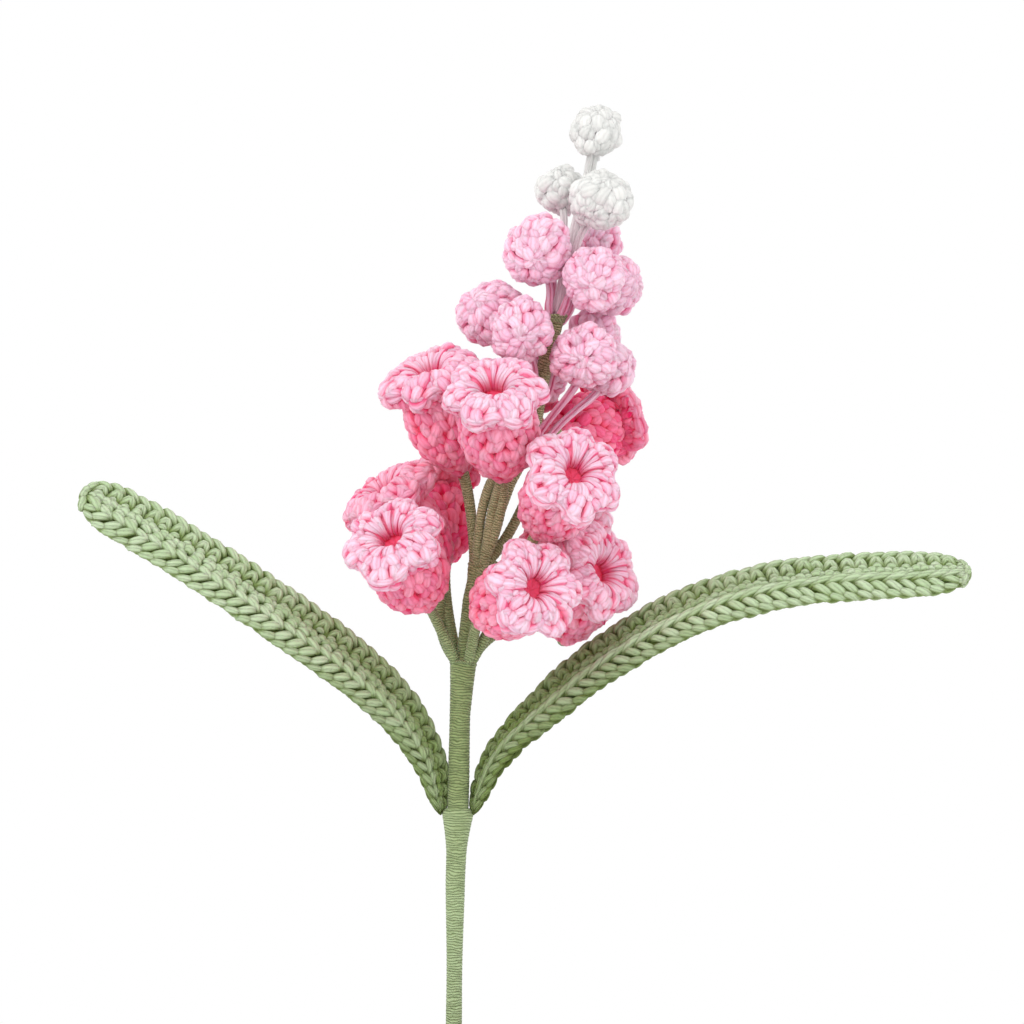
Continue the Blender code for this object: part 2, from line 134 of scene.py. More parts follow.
# The way a flare faces where it leans over from its cup
LEANS = {
    "bell_3": (0.74, 0.52, 0.42),
    "bell_6": (0.67, -0.67, 0.32),
    "bell_9": (-0.20, 0.35, 0.91),
}

# Painted shade: bells coloured a deeper rose because they lie in shade behind others, by how much,
# and bells whose cup alone is painted deeper for the shade under its flare
BELL_PAINTED_SHADE = {"bell_3": 0.55, "bell_9": 0.45, "bell_8": 0.30, "bell_6": 0.12, "bell_1": 0.08}
CUP_PAINTED_SHADE = {"bell_7": 0.25, "bell_5": 0.15, "bell_2": 0.08, "bell_1": 0.08}

# How far the middle of a pedicel is bent aside
BENDS = {
    "bell_3": (1.5, 4.0, -3.0),
    "bell_6": (0.0, 5.0, 9.5),
    "bell_8": (-4.5, 1.0, 0.0),
    "bell_9": (-2.5, 0.0, 0.0),
}

# Each bud: its middle, its radius, the side its closing rosette faces, the height at which
# its stalk leaves the stem or the spine
BUDS = {
    "bud_white_1": ((39.5, 0.0, 335.0), 6.9, (0.1, -0.5, 0.9), None),
    "bud_white_2": ((29.1, 9.0, 319.5), 6.2, (-0.2, -0.5, 0.8), 306.0),
    "bud_white_3": ((40.5, -5.0, 315.4), 8.0, (0.1, -0.7, 0.7), 302.0),
    "bud_pink_1": ((22.9, -7.0, 301.2), 9.2, (-0.1, -0.9, -0.4), 285.5),
    "bud_pink_2": ((38.4, -12.0, 292.8), 8.4, (-0.1, -0.95, -0.3), 287.0),
    "bud_pink_3": ((43.8, 6.0, 292.6), 8.3, (0.7, -0.6, 0.2), 286.0),
    "bud_pink_4": ((40.6, 19.0, 304.0), 6.0, (0.2, 0.4, 0.9), 292.0),
    "bud_pink_5": ((18.3, -14.0, 278.3), 8.5, (0.0, -0.95, -0.3), 262.0),
    "bud_pink_6": ((10.0, 2.0, 283.9), 9.0, (-0.5, -0.7, 0.4), 266.0),
    "bud_pink_7": ((35.6, -12.0, 271.5), 8.5, (-0.1, -0.95, -0.1), 244.0),
    "bud_pink_8": ((42.6, 3.0, 269.1), 7.3, (0.8, -0.5, 0.1), 246.0),
    "bud_pink_9": ((39.0, 14.0, 278.9), 7.0, (0.4, 0.6, 0.6), 264.0),
    "bud_pink_10": ((22.8, 12.0, 302.0), 7.5, (-0.3, 0.8, 0.4), 290.0),
    "bud_pink_11": ((16.5, 17.0, 279.9), 7.5, (-0.3, 0.9, 0.2), 264.0),
    "bud_pink_12": ((25.0, 14.6, 267.6), 7.0, (0.1, 0.9, 0.3), 250.0),
}

# Each leaf: its centre line from the stem to the tip, the side its face turns to at the
# root and at the tip, and which way its lower edge lies
LEAVES = {
    "leaf_left": (
        ((-3.7, 0.0, 143.6), (-7.6, -1.0, 158.7), (-15.5, -2.5, 172.1), (-28.5, -5.0, 184.8),
         (-50.7, -8.0, 201.0), (-73.5, -9.5, 216.1), (-103.5, -10.0, 234.0)),
        (0.35, -0.80, 0.45), (0.24, -0.86, 0.45), -1.0),
    "leaf_right": (
        ((4.2, 0.0, 143.6), (12.1, -1.0, 160.8), (26.0, -2.5, 174.6), (43.0, -5.0, 188.3),
         (68.3, -8.0, 201.8), (97.2, -10.0, 209.0), (142.5, -11.0, 211.6)),
        (-0.60, -0.60, 0.55), (-0.05, -0.72, 0.69), 1.0),
}

# How a strand rises over its course: a long stitch and a knob
BEAN = (-0.8, 0.15, 0.3, 0.1, -0.8)
NUB = (-0.6, 0.1, 0.1, -0.6)

# The runs of strands along a leaf: where the first one starts, how far each reaches, its
# course across, its rise, its thickness, its shadow and its unevenness. First come the cord
# under the lower edge and the drops of its braid, then the long legs above them.
LEAF_BRAID = (
    (0.0, 5.6, (0.12, 0.07, 0.04, 0.01, 0.0), BEAN, 1.05, 0.1, 1.0),
    (0.6, 5.0, (0.29, 0.25, 0.18, 0.11, 0.06), BEAN, 1.30, -0.2, 1.0),
)
LEAF_LEGS = {
    "leaf_left": (
        (-0.2, 5.8, (0.28, 0.33, 0.36, 0.38), BEAN, 1.25, -0.2, 1.5),
        (1.2, 3.2, (0.40, 0.44, 0.46, 0.44), NUB, 1.20, 0.0, 2.0),
    ),
    "leaf_right": (
        (-0.4, 9.0, (0.28, 0.33, 0.37, 0.40, 0.42, 0.43), (-0.7, 0.1, 0.35, 0.4, 0.3, -0.1),
         1.15, -0.3, 0.7),
    ),
}

# Then the knobs over the legs, a knob inside each arch, the arches and the cord on top
LEAF_CREST = (
    (0.6, 2.6, (0.50, 0.54, 0.54, 0.50), NUB, 1.25, 0.2, 1.8),
    (2.7, 2.4, (0.48, 0.52, 0.53, 0.50), NUB, 1.20, 0.2, 1.8),
    (2.0, 2.2, (0.62, 0.64, 0.63, 0.60), NUB, 1.05, 0.3, 1.4),
    (0.9, 4.0, (0.60, 0.74, 0.80, 0.79, 0.70, 0.58), (-0.7, 0.15, 0.4, 0.35, 0.1, -0.8),
     1.15, 0.15, 1.4),
    (0.0, 6.4, (0.80, 0.88, 0.93, 0.97, 1.0), BEAN, 1.15, 0.1, 1.0),
    (0.0, 5.4, (1.06, 1.05, 1.03, 1.01, 1.0), BEAN, 0.95, 0.2, 1.0),
)

# Where the rows of V stitches behind a leaf start
LEAF_BACK = (1.10, 1.31, 1.52, 1.73)

# A bell's wall from the middle of its base to the bottom of its throat: the radius, the
# height and how much of the lobes each point takes
BELL_WALL = (
    (0.0, 0.0, 0.0), (2.0, 0.0, 0.0), (3.4, 2.2, 0.0), (6.1, 5.0, 0.0), (8.3, 8.6, 0.0),
    (9.6, 12.2, 0.0), (10.2, 15.8, 0.0), (10.3, 19.4, 0.0), (9.8, 22.8, 0.0),
    (9.4, 25.8, 0.2), (12.1, 28.0, 1.0), (13.1, 31.6, 1.0), (9.0, 34.9, 0.8),
    (4.8, 33.9, 0.4), (2.7, 31.2, 0.1), (2.3, 29.0, 0.0), (0.0, 28.4, 0.0),
)
NECK, UNDER, RIM, CREST, LIP, THROAT = 9, 10, 11, 12, 13, 14


def unit(v):
    """Vectors of length one."""
    return v / np.maximum(np.linalg.norm(v, axis=-1, keepdims=True), 1e-9)


def smooth_line(points, count):
    """A smooth curve through the points, at even steps of its parameter."""
    spots = np.asarray(points, float)
    spots = np.vstack([spots[0] * 2 - spots[1], spots, spots[-1] * 2 - spots[-2]])
    at = np.linspace(0, len(points) - 1, count)
    k = np.minimum(at.astype(int), len(points) - 2)
    t = (at - k)[:, None]
    a, b, c, d = spots[k], spots[k + 1], spots[k + 2], spots[k + 3]
    return 0.5 * (2 * b + (c - a) * t + (2 * a - 5 * b + 4 * c - d) * t ** 2
                  + (3 * b - a - 3 * c + d) * t ** 3)


def arc_length(line):
    """The length along a line up to each of its points."""
    steps = np.linalg.norm(np.diff(line, axis=0), axis=1)
    return np.concatenate([[0.0], np.cumsum(steps)])


def at_rows(spots, knots, rows):
    """Rows of numbers, such as points, read off between their knots."""
    return np.stack([np.interp(spots, knots, column) for column in np.asarray(rows, float).T], -1)


def along_line(line, lengths):
    """The points of a line at the given lengths."""
    return at_rows(lengths, arc_length(line), line)


def turned_frame(axis):
    """Three directions, the last of them the axis."""
    way = unit(np.asarray(axis, float))
    across = unit(np.cross((0.0, 1.0, 0.0), way))
    return across, np.cross(way, across), way


class Piece:
    """Gathers the strands of one piece and makes them into one mesh."""

    def __init__(self):
        self.points = []
        self.values = []
        self.faces = []
        self.coords = []
        self.count = 0

    def grid(self, points, values, lengths, caps=True, flip=False):
        """Rings of points, shape (strands, rings, sides, 3), joined into tubes.

        The values are (strands, rings, sides, 3): how far a point is up the strand's crest,
        the strand's shade and its second colour.
        """
        strands, rings, sides, _ = points.shape
        number = self.count + np.arange(strands * rings * sides).reshape(strands, rings, sides)
        beside = np.roll(number, -1, axis=2)
        faces = np.stack([number[:, :-1], number[:, 1:], beside[:, 1:], beside[:, :-1]], axis=-1)
        faces = faces.reshape(-1, 4)
        shape = (strands, rings - 1, sides)
        low = np.broadcast_to(lengths[:, :-1, None], shape)
        high = np.broadcast_to(lengths[:, 1:, None], shape)
        left = np.broadcast_to(np.arange(sides) / sides, shape)
        right = np.broadcast_to(np.arange(1, sides + 1) / sides, shape)
        coords = np.stack([low, left, high, left, high, right, low, right], -1).reshape(-1, 4, 2)
        if flip:
            faces, coords = faces[:, ::-1], coords[:, ::-1]
        self.faces.append(faces)
        self.coords.append(coords)
        if caps:
            for ends, turn in ((number[:, 0], not flip), (number[:, -1], flip)):
                self.faces.append(ends if turn else ends[:, ::-1])
                self.coords.append(np.zeros(ends.shape + (2,)))
        self.points.append(points.reshape(-1, 3))
        self.values.append(values.reshape(-1, 3))
        self.count += strands * rings * sides

    def strands(self, path, out, radius, lift, shade, tint=0.0, sides=8, oval=1.0, packed=None):
        """Tubes along paths of shape (strands, points, 3), with out the side that shows.

        Packed gives the height, as a share of the radius, at which strands that lie
        side by side meet.
        """
        way = unit(np.gradient(path, axis=1))
        side = unit(np.cross(way, out))
        up = np.cross(side, way)
        angle = TURN * (0.25 + (np.arange(sides) - sides // 2) / sides)
        ring = (np.cos(angle)[:, None] * side[:, :, None] * oval
                + np.sin(angle)[:, None] * up[:, :, None])
        points = path[:, :, None] + ring * radius[:, :, None, None]
        values = np.empty(points.shape)
        stout = radius.max(axis=1)[:, None, None]
        sunk = (lift - lift.max(axis=1, keepdims=True))[:, :, None]
        if packed is None:
            values[..., 0] = (sunk + radius[:, :, None] * np.sin(angle)) / stout
        else:
            values[..., 0] = (np.sin(angle) - packed) / (1 - packed)
        values[..., 1] = np.reshape(shade, (-1, 1, 1))
        values[..., 2] = np.asarray(tint)[..., None] if np.ndim(tint) == 2 else tint
        steps = np.linalg.norm(np.diff(path, axis=1), axis=2)
        lengths = np.concatenate([np.zeros((len(path), 1)), np.cumsum(steps, axis=1)], axis=1)
        offset = np.reshape(shade, (-1, 1)) * 3.7
        self.grid(points, values, lengths + offset)

    def make(self, name, finish, nodes):
        """One mesh object that stands for its nodes and rides with them."""
        mesh = bpy.data.meshes.new(name)
        points = np.concatenate(self.points) * MM
        corners = np.concatenate([faces.ravel() for faces in self.faces])
        sizes = np.concatenate([np.full(len(faces), faces.shape[1]) for faces in self.faces])
        starts = np.concatenate([[0], np.cumsum(sizes)[:-1]])
        mesh.vertices.add(len(points))
        mesh.vertices.foreach_set("co", points.astype(np.float32).ravel())
        mesh.loops.add(len(corners))
        mesh.loops.foreach_set("vertex_index", corners.astype(np.int32))
        mesh.polygons.add(len(sizes))
        mesh.polygons.foreach_set("loop_start", starts.astype(np.int32))
        mesh.polygons.foreach_set("use_smooth", np.ones(len(sizes), bool))
        mesh.update(calc_edges=True)
        coords = np.concatenate([part.reshape(-1, 2) for part in self.coords])
        layer = mesh.uv_layers.new(name="Yarn")
        layer.data.foreach_set("uv", coords.astype(np.float32).ravel())
        values = np.concatenate(self.values).astype(np.float32)
        for i, label in enumerate(("lift", "shade", "tint")):
            attribute = mesh.attributes.new(label, "FLOAT", "POINT")
            attribute.data.foreach_set("value", np.ascontiguousarray(values[:, i]))
        mesh.materials.append(finish)
        thing = bpy.data.objects.new(name, mesh)
        bpy.context.scene.collection.objects.link(thing)
        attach(thing, "root")
        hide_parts(*nodes)
        return thing


class Surface:
    """A worked surface: where a point lies from its two coordinates, and where it faces.

    Steps are the small moves that its facing is taken from, sink is how deep its strands lie,
    sign turns its facing round, and stitches that run past last are pressed together.
    """

    def __init__(self, point, steps, sink, sign=1.0, last=1000.0):
        self.point = point
        self.last = last
        self.steps = steps
        self.sink = sink
        self.sign = sign

    def lay(self, s, t, lift):
        """Points at a height over the surface, with the way the surface faces there."""
        s, t, lift = np.broadcast_arrays(s, t, lift)
        step_s, step_t = self.steps
        along = self.point(s + step_s, t) - self.point(s - step_s, t)
        around = self.point(s, t + step_t) - self.point(s, t - step_t)
        out = unit(np.cross(around, along)) * self.sign
        return self.point(s, t) + out * (lift - self.sink)[..., None], out

    def work(self, piece, s, t, lift, radius, rng, tint, *form):
        """Strands of yarn laid over the surface, each of its own shade."""
        path, out = self.lay(s, t, lift)
        piece.strands(path, out, np.broadcast_to(radius, lift.shape), lift,
                      rng.uniform(-1, 1, len(path)), tint, *form)

    def core(self, piece, s, t, inset, tint):
        """The closed body under the strands, in the crease colour as painted shade in the gaps
        between them.
        """
        points, _ = self.lay(s[:, None], t[None, :], -inset)
        values = np.zeros(points.shape)
        values[..., 0] = 0.2 - inset
        values[..., 2] = tint
        piece.grid(points[None], values[None], s[None], flip=self.sign > 0)


def hump(u, power=0.6):
    """Zero at both ends of a stitch and one in its middle."""
    return np.sin(np.pi * np.clip(u, 0.001, 0.999)) ** power


def vee_row(piece, surface, s, pitch, count, turn, thick, rng, tint, spread, wild):
    """A round of V stitches, each with two plump legs that open away from the base."""
    u = np.linspace(0, 1, 7)[None]
    centre = turn + (np.arange(count) + wild * rng.normal(0, 0.07, count)) * TURN / count
    for hand in (-1, 1):
        loose = rng.normal(0, 1, (count, 6)) * wild
        slip, lean, girth, rise, slant, curl = loose.T[..., None]
        at = s + pitch * (-0.34 + (1.42 + 0.10 * slant) * u + 0.08 * slip)
        at = np.where(at > surface.last, surface.last + 0.3 * (at - surface.last), at)
        swing = hand * (0.12 + spread * u ** 0.85) + 0.05 * lean
        swing = swing + 0.10 * slant * (u - 0.5)
        swing = swing + 0.06 * curl * np.sin(np.pi * u)
        t = centre[:, None] + swing * TURN / count
        lift = thick * (-0.85 + 0.95 * hump(u, 0.6)) + 0.14 * rise
        radius = thick * (1 + 0.08 * girth) * (0.62 + 0.46 * hump(u, 0.5))
        surface.work(piece, at, t, lift, radius, rng, tint, 7, 1.22)


def braid(piece, surface, s, width, count, turn, thick, rng, tint):
    """A chain of teardrop loops, each tucked under the next, run round at one height."""
    u = np.linspace(0, 1, 7)[None]
    start = turn + (np.arange(count) + rng.normal(0, 0.10, count)) * TURN / count
    for hand in (-1, 1):
        slip, rise, girth = rng.normal(0, 1, (count, 3)).T[..., None]
        t = start[:, None] + (1.45 * u - 0.1) * TURN / count
        at = s + hand * width * (0.15 + 0.9 * np.sin(np.pi * u ** 0.8)) + 0.2 * slip
        lift = thick * (-0.75 + 0.95 * hump(u, 0.8)) + 0.15 * rise
        radius = thick * (1 + 0.09 * girth) * (0.50 + 0.54 * hump(u ** 0.85, 0.5))
        surface.work(piece, at, t, lift, radius, rng, tint, 7)


class Bell(Surface):
    """The worked surface of one open bell, with its lobes and its small unevenness."""

    def __init__(self, name, rng):
        throat, axis, phase, _ = BELLS[name]
        wall = smooth_line(BELL_WALL, 16 * (len(BELL_WALL) - 1) + 1)
        wall[:, 0] = np.maximum(wall[:, 0], 0.0)
        arc = arc_length(wall[:, :2])
        self.knots = arc[::16]
        across, back, way = turned_frame(axis)
        base = np.asarray(throat, float) - way * (BELL_LENGTH - THROAT_DEPTH)
        facing = unit(np.asarray(LEANS.get(name, way), float))
        hinge = unit(np.cross(way, facing))
        lean = math.acos(min(1.0, way.dot(facing)))
        bend = rng.uniform(0, TURN, 6)
        depth = rng.uniform(0.45, 1.0, LOBES)
        plump = rng.uniform(-0.05, 0.10, LOBES)
        phase = math.radians(phase)
        middle, level = FLARE_MIDDLE

        def drift(t):
            return 0.10 * np.sin(t + bend[0]) + 0.06 * np.sin(2 * t + bend[1])

        def leant(offset, height):
            share = np.clip((height - LEAN_FROM) / (LEAN_TO - LEAN_FROM), 0, 1)
            angle = (share * lean)[..., None]
            along = offset.dot(hinge)[..., None]
            return (offset * np.cos(angle) + np.cross(hinge, offset) * np.sin(angle)
                    + hinge * along * (1 - np.cos(angle)))

        def point(s, t):
            radius = np.interp(s, arc, wall[:, 0])
            height = np.interp(s, arc, wall[:, 1])
            lobe = np.interp(s, arc, wall[:, 2])
            around = LOBES * (t + drift(t)) + phase
            wave = np.cos(around)
            fold = (0.5 - 0.5 * wave) ** 4 * depth[np.floor(around / TURN).astype(int) % LOBES]
            full = (0.5 + 0.5 * wave) * plump[np.floor(around / TURN + 0.5).astype(int) % LOBES]
            radius = radius * (1 + LOBE_SWELL * lobe * wave) + 0.25 * np.sin(2 * t + bend[4])
            height = height - LOBE_DROP * lobe * (0.5 + 0.5 * wave)
            puff = 0.05 * np.sin(t + bend[2]) + 0.05 * np.sin(3 * t + bend[5]) + full
            share = 1 + (puff - FOLD_SHARE * fold) * np.sqrt(np.maximum(lobe, 0.0))
            radius = np.where(lobe > 0, middle + (radius - middle) * share, radius)
            height = np.where(lobe > 0, level + (height - level) * share, height)
            height = height + 0.3 * np.sin(2 * t + s / 7 + bend[3]) * lobe
            x, y = radius * np.cos(t), radius * np.sin(t)
            offset = (x[..., None] * across + y[..., None] * back
                      + (height - LEAN_FROM)[..., None] * way)
            return base + way * LEAN_FROM + leant(offset, height)

        def crowded(turn):
            t = turn - 0.14 / LOBES * np.sin(LOBES * turn + phase)
            spot = t
            for _ in range(5):
                spot = t - drift(spot)
            return spot

        self.radius_at = lambda s: np.interp(s, arc, wall[:, 0])
        self.crowded = crowded
        super().__init__(point, (0.15, 0.01), BELL_SINK)


def make_bell(name, finish):
    """An open bell: cup and flare of V stitches, a braided rim, posts down into the throat."""
    rng = np.random.default_rng(list(BELLS).index(name) + 11)
    bell = Bell(name, rng)
    knots = bell.knots
    piece = Piece()
    s = np.concatenate([np.linspace(0.4, knots[NECK], 18),
                        np.linspace(knots[NECK], knots[-1] - 0.3, 40)[1:]])
    # Painted shade: the body under the stitches is a deeper rose in the cup and deepest in the
    # throat, palest at the crest
    rose = np.interp(s, knots[[0, NECK, UNDER, CREST, LIP, THROAT]],
                     (0.9, 0.7, 0.3, 0.1, 0.6, 1.0))
    # Painted shade: the whole bell is coloured a deeper rose by this much
    painted_bell_shade = BELL_PAINTED_SHADE.get(name, 0.0)
    inset = np.interp(s, knots[[RIM, CREST, LIP]], (CORE_INSET, 0.1, -0.3))
    bell.core(piece, s, TURN * np.arange(48) / 48, inset[:, None], rose[:, None])
    rows = int((knots[NECK] - 2.0) / CUP_PITCH)
    turn = rng.uniform(0, TURN)
    for row in range(rows + 1):
        at = 1.6 + row * CUP_PITCH
        count = max(5, round(TURN * bell.radius_at(at + CUP_PITCH / 2) / CUP_STITCH))
        turn += TURN / count * rng.uniform(0.35, 0.65)
        # Painted shade: the cup's rows are a deeper rose towards its base
        shade = 0.62 - 0.22 * row / rows + painted_bell_shade + CUP_PAINTED_SHADE.get(name, 0.0)
        vee_row(piece, bell, at, CUP_PITCH, count, turn, YARN_RADIUS * 1.12, rng, shade,
                0.40, 1.3)
    width = knots[RIM] - knots[NECK]
    # Painted shade: the flare's rows nearest the cup are a deeper rose than those at the rim
    for at, reach, stout, tint in ((knots[NECK] + 0.4, width * 0.46, 1.06, 0.35),
                                   (knots[NECK] + width * 0.48, width * 0.40, 1.10, 0.15),
                                   (knots[RIM] + 0.6, 3.2, 1.14, 0.0),
                                   (knots[RIM] + 3.7, 3.0, 1.02, 0.0)):
        turn += TURN / FLARE_STITCHES * 0.5
        vee_row(piece, bell, at, reach, FLARE_STITCHES, turn, YARN_RADIUS * stout, rng,
                tint + painted_bell_shade, 0.36, 1.3)
    braid(piece, bell, knots[RIM] - 0.6, 1.05, RIM_LINKS, turn, YARN_RADIUS * 1.06, rng, painted_bell_shade)
    make_posts(piece, bell, rng, painted_bell_shade)
    return piece.make(name + "_yarn", finish, [name])


def make_posts(piece, bell, rng, painted_bell_shade):
    """The long flat stitches that run from the crest down into the throat."""
    knots = bell.knots
    u = np.linspace(0, 1, 12)[None]
    number = np.arange(POSTS)[:, None]
    loose = rng.normal(0, 1, (POSTS, 7))
    start, aside, girth, rise, slant, curl, phase = loose.T[..., None]
    first = knots[CREST] + 0.7 + (1.0 * (-1.0) ** number + 0.6 * start)
    s = first + (knots[THROAT] + 2.0 - first) * u
    t = bell.crowded((number + 0.13 * aside) * TURN / POSTS) + 0.06 * slant * (1 - u)
    t = t + 0.03 * curl * np.sin(np.pi * (u * 1.5 + 0.2 * phase))
    room = TURN * bell.radius_at(s) / POSTS
    radius = np.clip(0.42 * room, 0.30, 0.9) * (1 + 0.10 * girth)
    radius = radius * (0.70 + 0.30 * np.clip(u / 0.16, 0, 1) ** 0.5)
    lift = 0.55 - 0.5 * radius + 0.07 * rise
    lift = lift - 0.7 * np.clip(1 - u / 0.16, 0, 1)
    # Painted shade: the posts turn a deeper rose down into the throat
    deep = np.clip((s - knots[LIP] - 0.4) / (knots[THROAT] - knots[LIP] - 0.4), 0, 1)
    bell.work(piece, s, t, lift, radius, rng, deep ** 1.2 + painted_bell_shade, 8, 1.85, 0.30)


def make_bud(name, finish, slot):
    """A round bud of V stitches with a closing rosette, on its stalk of yarn tails."""
    centre, radius, rosette, _ = BUDS[name]
    rng = np.random.default_rng(list(BUDS).index(name) + 101)
    across, back, way = turned_frame(rosette)
    middle = np.asarray(centre, float)
    bend = rng.uniform(0, TURN, 3)
    half = math.pi * radius

    def point(s, t):
        polar = math.pi - s / radius
        r = radius + 0.45 * np.sin(2 * t + bend[0]) * np.sin(polar)
        r = r + 0.3 * np.cos(3 * t + bend[1])
        flat = r * np.sin(polar)
        x, y, z = flat * np.cos(t), flat * np.sin(t), r * 0.97 * np.cos(polar)
        return middle + x[..., None] * across + y[..., None] * back + z[..., None] * way

    ball = Surface(point, (0.1, 0.01), BUD_SINK, 1.0, half - 1.0)
    piece = Piece()
    s = np.linspace(0.3, half - 0.3, 20)
    inset = CORE_INSET + 1.6 * np.clip(1 - (half - s) / 2.6, 0, 1)
    ball.core(piece, s, TURN * np.arange(28) / 28, inset[:, None], 0.0)
    rows = round((half - 1.2) / BUD_PITCH)
    pitch = (half - 1.2) / rows
    turn = rng.uniform(0, TURN)
    for row in range(rows):
        at = 0.9 + row * pitch
        wide = radius * math.sin((at + pitch * 0.4) / radius)
        count = max(5, round(TURN * wide / BUD_STITCH))
        turn += TURN / count * rng.uniform(0.35, 0.65)
        closing = row == rows - 1
        reach, stout, spread = (0.8, 0.95, 0.12) if closing else (1.0, 1.12, 0.40)
        vee_row(piece, ball, at, pitch * reach, count, turn, YARN_RADIUS * stout, rng, 0.0,
                spread, 1.8)
    # A short stitch that closes the rosette
    rise = np.array((-1.6, -0.3, 0.1, -0.3, -1.6))[:, None] + radius * 0.97 - 0.6
    knot = middle + way * rise + across * np.array((-1.9, -1.0, 0.0, 1.0, 1.9))[:, None]
    girth = np.array((0.6, 1.0, 1.1, 1.0, 0.6))[None]
    piece.strands(knot[None], np.broadcast_to(way, (1, 5, 3)), girth, 0 * girth, [0.2])
    make_tails(piece, name, rng)
    return piece.make(name + "_yarn", finish, [name])


def axis_at(line, height):
    """The point, direction and radius of a tapering axis at a height."""
    for (low, low_radius), (high, high_radius) in zip(line, line[1:]):
        if low[2] <= height <= high[2]:
            t = (height - low[2]) / (high[2] - low[2])
            low, high = np.asarray(low), np.asarray(high)
            radius = low_radius + (high_radius - low_radius) * t
            return low + (high - low) * t, unit(high - low), radius
    raise ValueError("no such height on the axis")


def bezier(a, b, c, d, count):
    """Points on a cubic curve from a to d."""
    t = np.linspace(0, 1, count)[:, None]
    s = 1 - t
    return a * s ** 3 + b * 3 * s * s * t + c * 3 * s * t * t + d * t ** 3


def stalk_line(name):
    """The middle of a bud's stalk, from the stem or the spine up into the bud."""
    centre, _, _, height = BUDS[name]
    if height is None:
        return smooth_line([p for p, _ in SPINE] + [centre], 40)
    centre = np.asarray(centre, float)
    line = SPINE if height > SPINE[0][0][2] else STEM
    spot, up, thick = axis_at(line, height)
    out = centre - spot
    out = unit(out - up * out.dot(up))
    root = spot + out * (thick + STALK_RADIUS + 0.3)
    reach = np.linalg.norm(centre - root)
    neck = centre - np.array((0.0, 0.0, reach * 0.3))
    path = bezier(root, root + up * reach * 0.5, neck, centre, 36)
    foot = np.array([root - up * 5.0 - out * (STALK_RADIUS + 1.0), root - up * 2.0 - out * 0.7])
    return np.vstack([foot, path])


def make_tails(piece, name, rng):
    """The bud's stalk: a few soft tails of its own yarn, side by side."""
    highest = BUDS[name][3] is None
    count, spread, thick = (5, 0.95, 0.80) if highest else (4, 0.62, 0.62)
    line = stalk_line(name)
    u = np.linspace(0, 1, TAIL_STEPS)
    path = along_line(line, u * arc_length(line)[-1])
    way = unit(np.gradient(path, axis=0))
    side = unit(np.cross(way, (0.0, 1.0, 0.0)))
    up = np.cross(side, way)
    angle = TURN * (np.arange(count)[:, None] / count + 0.25 * u
                    + rng.uniform(-0.02, 0.02, (count, 1)))
    off = np.cos(angle)[..., None] * side + np.sin(angle)[..., None] * up
    radius = np.full((count, TAIL_STEPS), thick)
    radius[:, 0] *= 0.3
    radius[:, 1] *= 0.7
    blush = np.broadcast_to(np.clip(0.8 - 1.1 * u, 0, 1), radius.shape)
    piece.strands(path + off * spread, off, radius, np.full(radius.shape, 0.5),
                  rng.uniform(-1, 1, count), blush, 6)


def leaf_width(t):
    """The strip's width: narrow at the root, full past the middle, round at the tip."""
    root = 0.28 + 0.72 * np.sin(np.minimum(t / 0.62, 1.0) * np.pi / 2)
    root = root * (0.55 + 0.45 * np.minimum(t / 0.05, 1.0))
    taper = 1.0 - 0.10 * np.maximum(0.0, (t - 0.62) / 0.38)
    tip = np.maximum(0.0, (t - 0.94) / 0.06)
    return LEAF_WIDTH * root * taper * np.sqrt(np.maximum(0.12, 1.0 - tip * tip))


class Leaf(Surface):
    """The worked surface of a leaf. The second coordinate runs from the lower edge over
    the face to the upper edge at 1 and back behind to 2."""

    def __init__(self, name):
        # Painted shade over the whole leaf
        self.dusk = LEAF_PAINTED_SHADE[name]
        line, face_root, face_tip, lower = LEAVES[name]
        share = np.linspace(0, 1, 400)
        path = smooth_line(line, 400)
        arc = arc_length(path)
        face = at_rows(share, (0, 1), (face_root, face_tip))
        way = unit(np.gradient(path, axis=0))
        across = unit(np.cross(way, face))
        face = np.cross(across, way)
        low = across * lower
        width = leaf_width(share)
        self.length = arc[-1]
        self.width_at = lambda s: np.interp(s, arc, width)

        def point(s, t):
            a = np.pi * t
            half = np.interp(s, arc, width) / 2
            deep = LEAF_THICKNESS / 2 * np.sign(np.sin(a)) * np.abs(np.sin(a)) ** 0.6
            deep = deep * np.minimum(1.0, half / 4.5)
            x = half * np.cos(a)
            middle, aside, front = (at_rows(s, arc, rows) for rows in (path, low, face))
            return middle + aside * x[..., None] + front * deep[..., None]

        super().__init__(point, (0.2, 0.004), LEAF_SINK, -lower)


